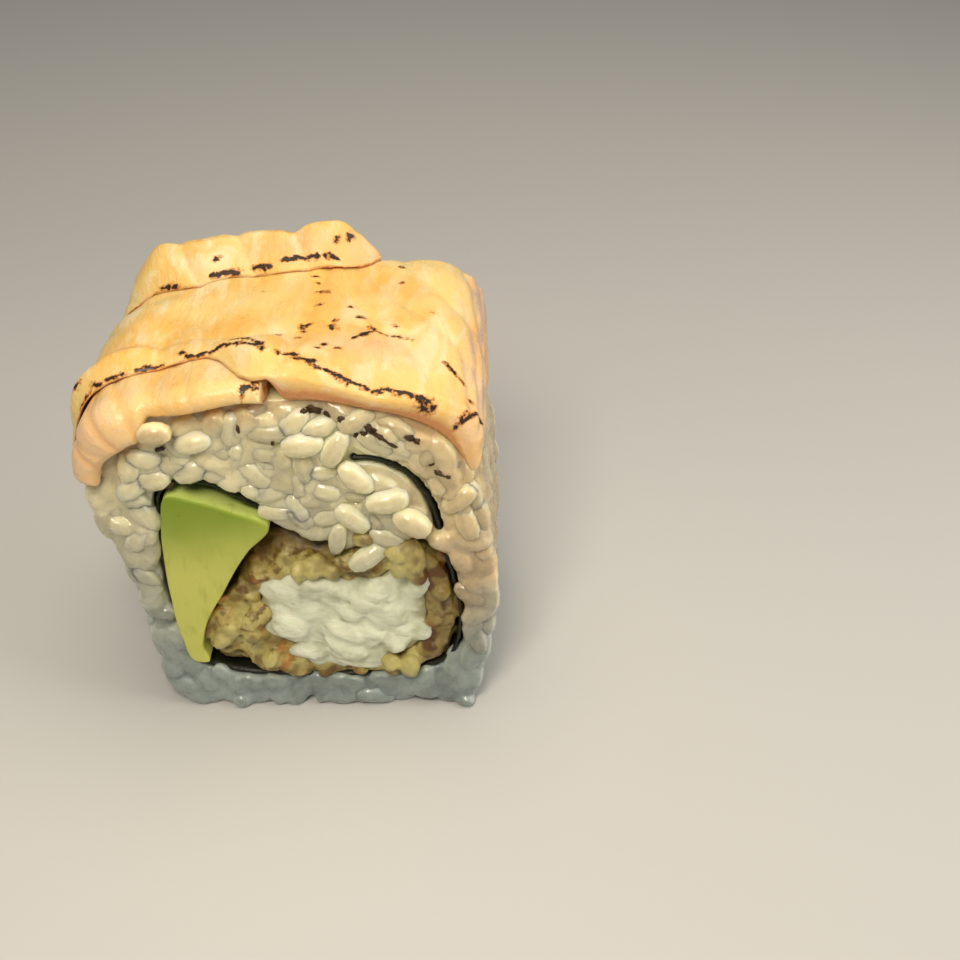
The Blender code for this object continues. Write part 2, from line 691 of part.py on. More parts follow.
class BackRidge(Slice):
    """The upper slice along the back, thickest at its right end."""

    thick = RIDGE_THICK
    grid = (16, 5)
    middle_s = -6.0

    def __init__(self, main):
        self.main = main

    def left(self, y):
        return RIDGE_LEFT + 0.5 * math.sin(y / 2.2)

    def right(self, y):
        return RIDGE_RIGHT - 6.5 * (1 - blend(y, RIDGE_FRONT - 3.0, BACK))

    def front(self, s):
        return RIDGE_FRONT + 1.0 * math.sin(s / 7.0 + 0.4) + 0.4 * math.sin(s / 1.9)

    def under(self, s, y):
        return RICE_GAP + self.main.tallest(s, y) + LAYER_GAP

    def swell(self, s, y):
        end = 0.35 * blend(-s, 12, 20)
        return 1 + end + RIDGE_SWELL / RIDGE_THICK * blend(s, -4.0, 5.0) * blend(y, 7.0, 15.0)


def clear_scene():
    """Removes whatever the file opened with."""
    for obj in list(bpy.data.objects):
        bpy.data.objects.remove(obj)


def make_rice(loops, drape):
    """The rice: a core round the hole, with grains fused on wherever it shows."""
    draw = random.Random(11)
    points, faces = prism_with_hole(loops.outline, loops.hole)
    rice = make_object("rice", points, faces, (0.80, 0.79, 0.70), 0.35, settled=False)
    shapes = grains_on_cut(loops, draw, FRONT) + grains_on_cut(loops, draw, BACK)
    shapes += grains_on_flank(drape, draw, drape.s[0] + 20.0, min(FLAP_LEFT, MAIN_LEFT) - 4.6)
    shapes += grains_on_flank(drape, draw, MAIN_RIGHT + 4.2, drape.s[-1] - 21.0)
    fuse(rice, shapes)
    settle_mesh(rice)
    return rice


def make_seaweed(loops):
    """The seaweed sheet, spiralling from its outer end to its inner end."""
    left = loops.seaweed_side(SEAWEED_THICK / 2, 0.0)[1:-1]
    right = loops.seaweed_side(-SEAWEED_THICK / 2, 0.0)[1:-1]
    ring = np.vstack([left, right[::-1]])
    rings = [at_depth(ring, y) for y in (FRONT + SEAWEED_RECESS, BACK - SEAWEED_RECESS)]
    points, faces = lofted_bar(rings)
    count, half = len(ring), len(left)
    caps = []
    for start in (0, count):
        for k in range(half - 1):
            caps.append((start + k, start + k + 1, start + count - 2 - k, start + count - 1 - k))
    return make_object("nori", points, faces[:-2] + caps, (0.015, 0.022, 0.014), 0.45)


def make_avocado():
    """The avocado wedge, standing a little out of the front cut."""
    loop = smooth_curve(AVOCADO_OUTLINE, True, AVOCADO_STEPS)
    depths = (FRONT - AVOCADO_PROUD, -5.0, 5.0, BACK - 0.2)
    rings = [at_depth(loop, y) for y in depths]
    centre = loop.mean(axis=0)
    face = centre + AVOCADO_FACE * (loop - centre)
    rings.insert(0, at_depth(face, FRONT - AVOCADO_PROUD - AVOCADO_CHAMFER))
    points, faces = lofted_bar(rings)
    return make_object("avocado", points, faces, (0.55, 0.62, 0.13), 0.4)


def make_batter():
    """The fried batter: a craggy sleeve round the prawn, with crumbs fused to both rims."""
    front = smooth_curve(BATTER_FRONT, True, BATTER_STEPS)
    inside = smooth_curve(BATTER_INSIDE, True, BATTER_STEPS)
    flesh = smooth_curve(PRAWN_OUTLINE, True, BATTER_STEPS)
    flesh = align(flesh, inside)
    hole = flesh + GAP * left_normals(flesh, True)
    stations = [
        (FRONT + BATTER_RECESS, 0.0), (FRONT + 2.4, 0.25), (FRONT + BATTER_FULL_AT, 1.0),
        (BACK - BATTER_FULL_AT, 1.0), (BACK - BATTER_RECESS, 0.3),
    ]
    outer, inner = [], []
    for depth, (y, share) in enumerate(stations):
        loop = front + share * (inside - front)
        centre = loop.mean(axis=0)
        ring = []
        for k, p in enumerate(loop):
            crag = 1 - BATTER_CRAG * (1 + ripple(k * 1.9, k * 0.8 + depth, depth * 2.1))
            x, z = centre + crag * (p - centre)
            rim = BATTER_RIM * ripple(k * 1.3, depth + k * 0.7) if depth in (0, len(stations) - 1) else 0.0
            ring.append((x, y + rim, z))
        outer.append(ring)
        rim_y = [ring_y for _, ring_y, _ in ring]
        inner.append([(x, rim_y[k], z) for k, (x, z) in enumerate(hole)])
    points, faces = lofted_bar(outer, inner)
    batter = make_object("batter", points, faces, (0.62, 0.42, 0.13), 0.55, settled=False)
    draw = random.Random(5)
    shapes = []
    for y_rim, outward in ((stations[0][0], -1), (stations[-1][0], 1)):
        shapes += crumbs_on_rim(draw, front, hole, y_rim, outward)
    fuse(batter, shapes)
    settle_mesh(batter)
    return batter


def align(loop, other):
    """The loop with its points in step with the other's, by direction from its middle."""
    middle = loop.mean(axis=0)
    start = other[0] - other.mean(axis=0)
    turns = [math.atan2(p[1] - middle[1], p[0] - middle[0]) for p in loop]
    wanted = math.atan2(start[1], start[0])
    first = min(range(len(loop)), key=lambda k: abs(math.remainder(turns[k] - wanted, 2 * math.pi)))
    return np.roll(loop, -first, axis=0)


def crumbs_on_rim(draw, outer, hole, y_rim, outward):
    """Coarse crumbs lying on the batter's cut rim, between its outer line and the prawn."""
    candidates = []
    for _ in range(CRUMB_TRIES):
        k = draw.randrange(len(outer))
        share = draw.uniform(0.15, 0.8)
        candidates.append((outer[k] + share * (hole[k] - outer[k]), draw.uniform(0, math.pi)))
    shapes = []
    for place, turn in spread(candidates, CRUMB_SPACING):
        size = draw.uniform(*CRUMB_SIZES)
        room = min(distance_to_loop(place, outer), distance_to_loop(place, hole))
        length = min(size * 1.5, 2 * (room + 0.35))
        if length < CRUMB_LEAST or any(math.dist(place, g[:2]) < CRUMB_OFF_GRAINS for g in LOOSE_GRAINS):
            continue
        points, faces = grain_mesh(length, min(size, 1.7 * (room + 0.3)), sides=4)
        centre = (place[0], y_rim + outward * 0.1, place[1])
        shapes.append((placed(points, centre, (math.cos(turn), 0.3, math.sin(turn)), (0, outward, 0)), faces))
    return shapes


def make_prawn():
    """The prawn's flesh, with a domed and torn surface at each cut."""
    loop = smooth_curve(PRAWN_OUTLINE, True, BATTER_STEPS)
    rings = domed_cap(loop, FRONT + BATTER_RECESS, -PRAWN_DOME, PRAWN_ROUGH)[::-1]
    rings += [at_depth(loop, y) for y in (FRONT + BATTER_RECESS, 0.0, BACK - BATTER_RECESS)]
    rings += domed_cap(loop, BACK - BATTER_RECESS, PRAWN_DOME, PRAWN_ROUGH)
    points, faces = lofted_bar(rings)
    return make_object("prawn", points, faces, (0.80, 0.78, 0.64), 0.4)


def make_salmon(drape):
    """The three slices, lowest first."""
    flap = FrontFlap()
    main = MainSlice(flap)
    ridge = BackRidge(main)
    colour = (0.88, 0.50, 0.24)
    for name, piece in (("salmon_front", flap), ("salmon_main", main), ("salmon_back", ridge)):
        points, faces = piece.solid(drape)
        make_object(name, points, faces, colour, 0.38)


def main():
    """Builds every piece."""
    clear_scene()
    loops = Loops()
    drape = Drape(loops.outline)
    make_rice(loops, drape)
    make_seaweed(loops)
    make_avocado()
    make_batter()
    make_prawn()
    make_salmon(drape)


main()
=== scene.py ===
"""Looks for one piece of an inside-out sushi roll.

Sticky rice lies round a seaweed sheet, an avocado wedge and a battered prawn, under three slices of seared
salmon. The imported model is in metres, +Z up, and stands on its rice with the photographed cut facing -Y. Each
class here builds one food in millimetres, on the same outlines as its solid, and hands over a mesh in metres.
"""

import logging
import math
from collections.abc import Iterable, Sequence
from dataclasses import dataclass, field
from enum import Enum

import bmesh
import bpy
import numpy as np
from mathutils import Matrix, Vector
from mathutils.bvhtree import BVHTree
from mathutils.kdtree import KDTree


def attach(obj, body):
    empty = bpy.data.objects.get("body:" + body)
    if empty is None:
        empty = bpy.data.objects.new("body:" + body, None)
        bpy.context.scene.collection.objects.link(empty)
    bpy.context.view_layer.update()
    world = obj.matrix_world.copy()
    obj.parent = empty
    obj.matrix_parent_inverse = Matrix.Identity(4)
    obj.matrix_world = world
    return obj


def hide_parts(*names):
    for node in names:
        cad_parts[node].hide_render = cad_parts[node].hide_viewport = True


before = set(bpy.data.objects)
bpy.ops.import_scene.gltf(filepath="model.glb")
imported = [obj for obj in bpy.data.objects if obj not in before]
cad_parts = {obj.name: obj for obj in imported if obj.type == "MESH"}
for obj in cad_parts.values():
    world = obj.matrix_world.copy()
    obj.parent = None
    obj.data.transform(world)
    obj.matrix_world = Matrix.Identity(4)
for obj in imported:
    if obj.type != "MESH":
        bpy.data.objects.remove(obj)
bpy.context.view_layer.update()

LOG = logging.getLogger("uramaki")
MM = 0.001
BODY = "root"

# Whole piece, as its solids have it
FRONT, BACK = -16.0, 16.0  # the two knife cuts
GAP = 0.3  # between the rice and what lies in it
CROWN_X = -1.0

# The slump, which grows from the front cut to the back cut
LEAN, LEAN_HEIGHT = 0.5, 50.0  # of the crown, and the height at which it leans so far
SWAY = 0.25
SINK, SINK_WAVE = 0.008, 0.012  # as shares of the height
SHOULDER_RISE = 3.2  # of the right shoulder
SHOULDER_HEIGHTS, SHOULDER_SPAN = (28.0, 44.0), (4.0, 21.0)

CURVE_STEPS = 16  # between two of a curve's own points
POINTS_AT_ONCE = 4000
PATTERN_SHIFT = 1000.0

Array = np.ndarray
Line = Sequence[tuple[float, float]]
Colour = tuple[int, int, int]
Mesh = bpy.types.Mesh
Socket = bpy.types.NodeSocket


def blend(value: Array | float, low: float, high: float) -> Array:
    """0 below low, 1 above high, and smooth between."""
    share = np.clip((value - low) / (high - low), 0.0, 1.0)
    return share * share * (3 - 2 * share)


def bump(value: Array | float, middle: float, width: float) -> Array:
    """1 at the middle, falling away to both sides."""
    return np.exp(-(((value - middle) / width) ** 2))


def waves(*phases: Array | float) -> Array:
    """A smooth wave between -1 and 1 from several slow ones."""
    return sum(np.sin(p * (1.0 + 0.37 * k) + 1.7 * k) for k, p in enumerate(phases)) / len(phases)


@dataclass(frozen=True)
class Lumps:
    """Smooth noise in space, the same each run.

    Attributes:
        size: millimetres across one lump, the same each way or one value for each axis.
        seed: what tells one pattern from another.
        octaves: how many finer copies are added.
        cells: how many lumps it has each way before it repeats.
    """

    size: float | tuple[float, float, float]
    seed: int
    octaves: int = 1
    cells: int = 48

    def at(self, points: Array) -> Array:
        """The noise at each point.

        Args:
            points: an array with one row of x, y and z for each point, in millimetres.

        Returns:
            One value for each point, between -1 and 1.
        """
        total, weight, most = np.zeros(len(points)), 1.0, 0.0
        for octave in range(self.octaves):
            table = np.random.default_rng(self.seed + octave).uniform(-1, 1, (self.cells,) * 3)
            scaled = points / np.array(self.size) * 2**octave + PATTERN_SHIFT
            base = np.floor(scaled).astype(int)
            share = scaled - base
            share = share * share * (3 - 2 * share)
            value = np.zeros(len(points))
            for corner in np.ndindex(2, 2, 2):
                near = np.where(np.array(corner) == 1, share, 1 - share).prod(axis=1)
                index = (base + np.array(corner)) % self.cells
                value += near * table[index[:, 0], index[:, 1], index[:, 2]]
            total += weight * value
            most += weight
            weight *= 0.5
        return total / most


def smooth_curve(points: Line, closed: bool, steps: int) -> Array:
    """Evenly spaced points along a smooth curve through the given ones.

    Args:
        points: the curve's own points as (x, z).
        closed: whether the last point joins the first.
        steps: how many points to return.

    Returns:
        An array of (x, z) rows.
    """
    given = np.array(points, float)
    wrapped = np.vstack([given, given[:1]]) if closed else given
    count = len(given)
    gaps = np.linalg.norm(np.diff(wrapped, axis=0), axis=1)
    tangents = np.zeros_like(wrapped)
    for i, here in enumerate(wrapped):
        before = wrapped[i - 1 if i else (count - 1 if closed else 0)]
        after = wrapped[i + 1 if i + 1 < len(wrapped) else (1 if closed else i)]
        gap_in = np.linalg.norm(here - before) or 1.0
        gap_out = np.linalg.norm(after - here) or 1.0
        slopes = (here - before) / gap_in * gap_out + (after - here) / gap_out * gap_in
        tangents[i] = slopes / (gap_in + gap_out)
    t = np.linspace(0, 1, CURVE_STEPS, endpoint=False)[:, None]
    fine = [
        (2 * t**3 - 3 * t**2 + 1) * wrapped[i] + (t**3 - 2 * t**2 + t) * gap * tangents[i]
        + (3 * t**2 - 2 * t**3) * wrapped[i + 1] + (t**3 - t**2) * gap * tangents[i + 1]
        for i, gap in enumerate(gaps)
    ]
    return evenly(np.vstack([*fine, wrapped[-1:]]), closed, steps)


def evenly(line: Array, closed: bool, steps: int) -> Array:
    """The line's points respaced at equal distances, without repeating the first one on a closed line."""
    along = np.concatenate([[0], np.cumsum(np.linalg.norm(np.diff(line, axis=0), axis=1))])
    wanted = np.linspace(0, along[-1], steps, endpoint=not closed)
    return np.column_stack([np.interp(wanted, along, line[:, k]) for k in range(2)])


def left_normals(line: Array, closed: bool) -> Array:
    """Unit vectors to the left of the way along the line."""
    if closed:
        ahead = np.roll(line, -1, axis=0) - np.roll(line, 1, axis=0)
    else:
        ahead = np.gradient(line, axis=0)
    ahead = ahead / np.linalg.norm(ahead, axis=1)[:, None]
    return np.column_stack([-ahead[:, 1], ahead[:, 0]])


def depth_inside(points: Array, loop: Array) -> Array:
    """How far each (x, z) point lies inside a closed loop, negative where it is outside."""
    a, b = loop, np.roll(loop, -1, axis=0)
    way = b - a
    size = (way**2).sum(axis=1)
    depths = []
    for part in np.array_split(points, max(1, len(points) // POINTS_AT_ONCE)):
        gap = part[:, None, :] - a[None, :, :]
        share = np.clip((gap * way).sum(axis=2) / size, 0, 1)
        distance = np.linalg.norm(gap - share[:, :, None] * way, axis=2).min(axis=1)
        x, z = part[:, :1], part[:, 1:]
        crosses = (a[:, 1] > z) != (b[:, 1] > z)
        at = a[:, 0] + (z - a[:, 1]) / np.where(crosses, way[:, 1], 1.0) * way[:, 0]
        inside = (crosses & (x < at)).sum(axis=1) % 2 == 1
        depths.append(np.where(inside, distance, -distance))
    return np.concatenate(depths)


def upright(flat: Array, y: Array | float) -> Array:
    """Rows of x, y and z from rows of (x, z) and their y."""
    return np.column_stack([flat[:, 0], np.broadcast_to(y, len(flat)), flat[:, 1]])


def way_along(loop: Array, places: Array) -> Array:
    """The angle at which the loop runs where it passes nearest to each place."""
    nearest = np.array([np.linalg.norm(loop - place, axis=1).argmin() for place in places])
    ways = np.roll(loop, -1, axis=0)[nearest] - loop[nearest]
    return np.arctan2(ways[:, 1], ways[:, 0])


def clear_of(kept: Sequence[Sequence[float]], u: float, v: float, spacing: float) -> bool:
    """Whether a place is further than the spacing from every one that is kept."""
    return all(math.hypot(u - other[0], v - other[1]) > spacing for other in kept)


def spread_out(draw: np.random.Generator, low: Sequence[float], high: Sequence[float], tries: int,
               spacing: float) -> list[tuple[float, float]]:
    """Places drawn in a rectangle, none near another.

    Args:
        draw: the source of chance.
        low: the rectangle's lowest corner.
        high: its highest corner.
        tries: how many places are drawn.
        spacing: the least distance between two that are kept.

    Returns:
        The places that are kept.
    """
    kept: list[tuple[float, float]] = []
    for _ in range(tries):
        u, v = draw.uniform(low[0], high[0]), draw.uniform(low[1], high[1])
        if clear_of(kept, u, v, spacing):
            kept.append((u, v))
    return kept


class Field:
    """How far each (x, z) place lies inside a loop, read quickly from a grid of such depths."""

    def __init__(self, loop: Array, step: float = 0.4, margin: float = 6.0) -> None:
        """Args:
            loop: the closed loop.
            step: the grid's spacing.
            margin: how far the grid reaches past the loop.
        """
        self.low, self.step = loop.min(axis=0) - margin, step
        counts = np.ceil((loop.max(axis=0) + margin - self.low) / step).astype(int) + 1
        axes = [self.low[k] + step * np.arange(counts[k]) for k in range(2)]
        grid = np.stack(np.meshgrid(*axes, indexing="ij"), axis=-1).reshape(-1, 2)
        self.depths = depth_inside(grid, loop).reshape(counts)

    def at(self, points: Array) -> Array:
        """The depth at each (x, z) point, negative outside the loop."""
        spot = (points - self.low) / self.step
        base = np.clip(np.floor(spot).astype(int), 0, np.array(self.depths.shape) - 2)
        a, b = np.clip(spot - base, 0, 1).T
        i, j = base.T
        left = self.depths[i, j] * (1 - b) + self.depths[i, j + 1] * b
        right = self.depths[i + 1, j] * (1 - b) + self.depths[i + 1, j + 1] * b
        return left * (1 - a) + right * a


def settle(points: Array) -> Array:
    """The roll's slight lean and slump, the same for every food, which leaves the base flat.

    Args:
        points: rows of x, y and z in millimetres.

    Returns:
        Rows of x, y and z in metres, in the frame.
    """
    x, y, z = points.T
    height = np.maximum(z, 0.0) / LEAN_HEIGHT
    depth = y / BACK
    share = (depth + 1) / 2
    shifted = x + LEAN * height * share + SWAY * height * np.sin(2.2 * depth + x / 14.0)
    raised = z * (1 + SINK_WAVE * np.sin(1.5 * depth + 0.6 + x / 17.0) - SINK)
    raised += SHOULDER_RISE * blend(z, *SHOULDER_HEIGHTS) * blend(x, *SHOULDER_SPAN) * share
    return np.column_stack([shifted, y, raised]) * MM


def grid_faces(rows: int, columns: int, start: int = 0, closed: bool = False) -> Array:
    """Quads of a grid of points laid row by row; a closed grid joins its last column to its first."""
    row = np.arange(rows - 1)[:, None]
    column = np.arange(columns if closed else columns - 1)[None, :]
    after = (column + 1) % columns
    near, far = row * columns, (row + 1) * columns
    corners = (near + column, near + after, far + after, far + column)
    return start + np.stack(np.broadcast_arrays(*corners), axis=-1).reshape(-1, 4)


def new_object(name: str, mesh: Mesh) -> bpy.types.Object:
    """An object at the origin with this mesh, in the scene."""
    made = bpy.data.objects.new(name, mesh)
    bpy.context.scene.collection.objects.link(made)
    return made


def set_values(mesh: Mesh, **values: Array) -> None:
    """Gives every vertex its values, each under its own name."""
    for key, row in values.items():
        mesh.attributes.new(key, "FLOAT", "POINT").data.foreach_set("value", np.asarray(row, np.float32))


def mesh_from(name: str, points: Array, faces: Iterable,
              attributes: dict[str, Array] | None = None) -> Mesh:
    """A smooth closed mesh whose faces point outwards.

    Args:
        name: the mesh's name.
        points: rows of x, y and z in metres.
        faces: each face's point numbers.
        attributes: named values, one for each point.

    Returns:
        The mesh.
    """
    mesh = bpy.data.meshes.new(name)
    mesh.from_pydata(points.tolist(), [], [list(map(int, f)) for f in faces])
    set_values(mesh, **(attributes or {}))
    tidy = bmesh.new()
    tidy.from_mesh(mesh)
    bmesh.ops.remove_doubles(tidy, verts=tidy.verts, dist=1e-7)
    bmesh.ops.recalc_face_normals(tidy, faces=tidy.faces)
    tidy.to_mesh(mesh)
    tidy.free()
    mesh.shade_smooth()
    return mesh


def evaluated_mesh(piece: bpy.types.Object) -> Mesh:
    """The plain mesh that the object's modifiers make."""
    return bpy.data.meshes.new_from_object(piece.evaluated_get(bpy.context.evaluated_depsgraph_get()))


def points_of(mesh: Mesh) -> tuple[Array, Array]:
    """Every vertex's place and normal."""
    places, normals = np.zeros(len(mesh.vertices) * 3), np.zeros(len(mesh.vertices) * 3)
    mesh.vertices.foreach_get("co", places)
    mesh.vertex_normals.foreach_get("vector", normals)
    return places.reshape(-1, 3), normals.reshape(-1, 3)


def move_points(mesh: Mesh, places: Array) -> None:
    """Puts every vertex at its new place."""
    mesh.vertices.foreach_set("co", places.ravel())
    mesh.update()


def triangles_of(mesh: Mesh) -> int:
    """How many triangles the mesh has."""
    return sum(len(p.vertices) - 2 for p in mesh.polygons)


def melted(name: str, parts: Sequence[Mesh], voxel: float, soften: int,
           most: int) -> Mesh:
    """Overlapping closed forms melted into one skin.

    Args:
        name: the new mesh's name.
        parts: the forms, in millimetres.
        voxel: how fine the skin is, in millimetres.
        soften: how many times it is smoothed.
        most: the most triangles that it may have.

    Returns:
        The skin, in millimetres.
    """
    points, faces, start = [], [], 0
    for part in parts:
        points.append(points_of(part)[0])
        faces += [[start + v for v in p.vertices] for p in part.polygons]
        start += len(part.vertices)
    raw = bpy.data.meshes.new(name)
    raw.from_pydata(np.vstack(points).tolist(), [], faces)
    skin = new_object(name, raw)
    remesh = skin.modifiers.new("melt", "REMESH")
    remesh.mode = "VOXEL"
    remesh.voxel_size = voxel
    smooth = skin.modifiers.new("soften", "SMOOTH")
    smooth.iterations = soften
    skin.data = evaluated_mesh(skin)
    skin.modifiers.clear()
    count = triangles_of(skin.data)
    if count > most:
        skin.modifiers.new("fewer", "DECIMATE").ratio = most / count
        skin.data = evaluated_mesh(skin)
        skin.modifiers.clear()
    made = skin.data
    bpy.data.objects.remove(skin)
    return made


def finish_piece(piece: bpy.types.Object, finish: "Finish", slot: str, *nodes: str) -> None:
    """Dresses a piece, says what it rides on, and hides the solids that it stands for.

    Args:
        piece: the finished object.
        finish: its material.
        slot: not used.
        *nodes: the solids that it replaces.
    """
    piece.data.materials.clear()
    piece.data.materials.append(finish.material())
    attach(piece, BODY)
    if nodes:
        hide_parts(*nodes)
    LOG.info("%s: %d triangles", piece.name, triangles_of(piece.data))


class Graph:
    """A node tree, with one short call to add a node, set it and link it."""

    def __init__(self, tree: bpy.types.NodeTree) -> None:
        """Takes the node tree to fill."""
        self.tree = tree

    def add(self, kind: str, inputs: dict | None = None, **settings: object) -> bpy.types.Node:
        """Adds a node.

        Args:
            kind: the node's type name.
            inputs: for each input, by name or number, a socket to link from or a value.
            **settings: the node's own properties.

        Returns:
            The node.
        """
        node = self.tree.nodes.new(kind)
        for key, value in settings.items():
            setattr(node, key, value)
        for key, value in (inputs or {}).items():
            if isinstance(value, Socket):
                self.tree.links.new(value, node.inputs[key])
            else:
                node.inputs[key].default_value = value
        return node

    def math(self, operation: str, a: object, b: object = 0.0, clamp: bool = False) -> Socket:
        """The result of one sum on sockets or numbers."""
        return self.add("ShaderNodeMath", {0: a, 1: b}, operation=operation, use_clamp=clamp).outputs[0]

    def vector(self, operation: str, inputs: dict) -> Socket:
        """The result of one sum on vectors."""
        return self.add("ShaderNodeVectorMath", inputs, operation=operation).outputs[0]

    def ranged(self, value: object, low: float, high: float,
               to: tuple[float, float] = (0, 1)) -> Socket:
        """The value moved smoothly from one range to another."""
        inputs = {"Value": value, "From Min": low, "From Max": high, "To Min": to[0], "To Max": to[1]}
        return self.add("ShaderNodeMapRange", inputs, interpolation_type="SMOOTHSTEP").outputs[0]


def linear(colour: Colour) -> tuple[float, float, float, float]:
    """A screen colour of 0 to 255 as the linear light that a shader takes."""
    parts = [c / 255 for c in colour]
    return (*[p / 12.92 if p <= 0.04045 else ((p + 0.055) / 1.055) ** 2.4 for p in parts], 1.0)


class Recipe(Graph):
    """A material in the making, with calls for what most finishes need."""

    def __init__(self, name: str) -> None:
        """Args:
            name: the material's name.
        """
        self.made = bpy.data.materials.new(name)
        self.made.use_nodes = True
        super().__init__(self.made.node_tree)
        self.shader = self.tree.nodes["Principled BSDF"]
        self.place = self.add("ShaderNodeTexCoord").outputs["Object"]

    def noise(self, size: float, detail: float = 2.0, roughness: float = 0.5,
              stretch: Sequence[float] = (1, 1, 1), distortion: float = 0.0) -> Socket:
        """Noise from 0 to 1 whose lumps are size millimetres across, longer where stretch is below 1."""
        scaled = self.add("ShaderNodeMapping", {"Vector": self.place, "Scale": stretch}).outputs[0]
        inputs = {"Vector": scaled, "Scale": 1 / (size * MM), "Detail": detail, "Roughness": roughness,
                  "Distortion": distortion}
        return self.add("ShaderNodeTexNoise", inputs).outputs["Fac"]

    def value(self, name: str) -> Socket:
        """A mesh attribute's value."""
        return self.add("ShaderNodeAttribute", attribute_name=name).outputs["Fac"]

    def mix(self, share: object, a: object, b: object) -> Socket:
        """One colour laid over another; each is a screen colour or a socket."""
        kinds = [c if isinstance(c, Socket) else linear(c) for c in (a, b)]
        node = self.add("ShaderNodeMix", {0: share, 6: kinds[0], 7: kinds[1]}, data_type="RGBA")
        return node.outputs[2]

    def cover(self, base: object, colour: Colour, value: object, low: float, high: float,
              most: float = 1.0) -> Socket:
        """The base with a colour over it, from none where the value is low to most of it where it is high."""
        return self.mix(self.ranged(value, low, high, (0, most)), base, colour)

    def height(self) -> Socket:
        """Height above the ground, in metres."""
        return self.add("ShaderNodeSeparateXYZ", {0: self.place}).outputs[2]

    def patchy(self, size: float, low: float, high: float, detail: float = 2.0) -> Socket:
        """A value that goes from low to high and back over patches of that size in millimetres."""
        return self.ranged(self.noise(size, detail), 0.3, 0.7, (low, high))

    def glow(self, weight: float, radius: Sequence[float], depth: float) -> None:
        """Lets light scatter under the surface, up to depth millimetres in."""
        self.set(Subsurface_Weight=weight, Subsurface_Radius=radius, Subsurface_Scale=depth * MM)

    def set(self, **values: object) -> None:
        """Sets or links the shader's sockets, each named with _ for a space."""
        for key, value in values.items():
            socket = self.shader.inputs[key.replace("_", " ")]
            if isinstance(value, Socket):
                self.tree.links.new(value, socket)
            else:
                socket.default_value = value

    def relief(self, height: Socket, depth: float) -> None:
        """Raises the surface in shading by up to depth millimetres."""
        node = self.add("ShaderNodeBump", {"Height": height, "Distance": depth * MM})
        self.tree.links.new(node.outputs[0], self.shader.inputs["Normal"])


class Finish:
    """A surface finish, made into a material once."""

    name = "finish"

    def material(self) -> bpy.types.Material:
        """The finish's material."""
        found = bpy.data.materials.get(self.name)
        if found:
            return found
        recipe = Recipe(self.name)
        self.cook(recipe)
        return recipe.made

    def cook(self, recipe: Recipe) -> None:
        """Fills in the material."""
        raise NotImplementedError


@dataclass(frozen=True)
class RiceFinish(Finish):
    """Glassy rice: a painted glow round each grain's rim, warm below the salmon, painted cool shade low down.
    """

    name: str = "rice_grain"
    warm: Colour = (242, 232, 190)
    # painted cool shade for the lower rice
    cool_shade: Colour = (160, 172, 168)
    orange_tint: Colour = (222, 180, 124)
    low: float = 5.0
    high: float = 45.0

    def cook(self, recipe: Recipe) -> None:
        """Fills in the material."""
        # painted shade: the cool colour low down, fading by height into the warm rice colour
        base = recipe.cover(self.cool_shade, self.warm, recipe.height(), self.low * MM, self.high * MM)
        base = recipe.mix(recipe.math("MULTIPLY", recipe.value("blush"), 0.75, True), base, self.orange_tint)
        cloud = recipe.math("MULTIPLY", recipe.noise(1.4, 3.0), 0.34)
        tone = recipe.math("ADD", recipe.math("MULTIPLY", recipe.value("tone"), 0.3), cloud)
        # painted glow: faces turned away from the cut or flank are made lighter, as light through a grain's
        # edge
        tone = recipe.math("ADD", tone, recipe.ranged(recipe.value("rim"), 0.12, 0.62, (0, 0.5)))
        light = recipe.math("ADD", tone, 0.5)
        shaded = recipe.add("ShaderNodeHueSaturation", {"Value": light, "Color": base})
        recipe.glow(0.8, (1.0, 0.9, 0.7), 2.0)
        recipe.set(Base_Color=shaded.outputs[0], Roughness=recipe.patchy(0.9, 0.22, 0.42),
                   IOR=1.4, Coat_Weight=0.6, Coat_Roughness=0.09)
        recipe.relief(recipe.noise(0.8, 3.0), 0.1)


@dataclass(frozen=True)
class SeaweedFinish(Finish):
    """Damp dark green seaweed."""

    name: str = "damp_seaweed"
    dark: Colour = (14, 17, 12)
    olive: Colour = (40, 44, 26)

    def cook(self, recipe: Recipe) -> None:
        """Fills in the material."""
        base = recipe.mix(recipe.noise(1.6, 4.0), self.dark, self.olive)
        recipe.set(Base_Color=base, Roughness=0.42, Specular_IOR_Level=0.4)
        recipe.relief(recipe.noise(0.5, 3.0), 0.12)


@dataclass(frozen=True)
class AvocadoFinish(Finish):
    """Ripe avocado, green at the skin side, yellow towards the stone and the tip, its top face paler as painted
    light.
    """

    name: str = "ripe_avocado"
    green: Colour = (132, 156, 46)
    yellow: Colour = (210, 212, 110)
    pale: Colour = (206, 224, 124)
    smear: Colour = (150, 158, 52)
    bruise: Colour = (120, 118, 34)
    low: float = 26.0
    high: float = 40.0
    wander: float = 6.0

    def cook(self, recipe: Recipe) -> None:
        """Fills in the material."""
        wander = recipe.math("MULTIPLY", recipe.noise(9.0), self.wander * MM)
        height = recipe.math("ADD", recipe.height(), wander)
        base = recipe.cover(self.yellow, self.green, height, self.low * MM, self.high * MM)
        # painted light: the upper face, where the skin was, made paler
        base = recipe.cover(base, self.pale, recipe.value("skin"), 0.0, 1.0)
        base = recipe.cover(base, self.smear, recipe.noise(1.4, 3.0, stretch=(1, 1, 0.35)), 0.5, 0.8, 0.4)
        base = recipe.cover(base, self.bruise, recipe.noise(1.2), 0.74, 0.8, 0.6)
        recipe.glow(0.3, (1.0, 0.9, 0.3), 1.2)
        recipe.set(Base_Color=base, Roughness=recipe.patchy(2.0, 0.38, 0.55), Specular_IOR_Level=0.3)
        recipe.relief(recipe.noise(1.1, 3.0, stretch=(1, 1, 0.4)), 0.08)


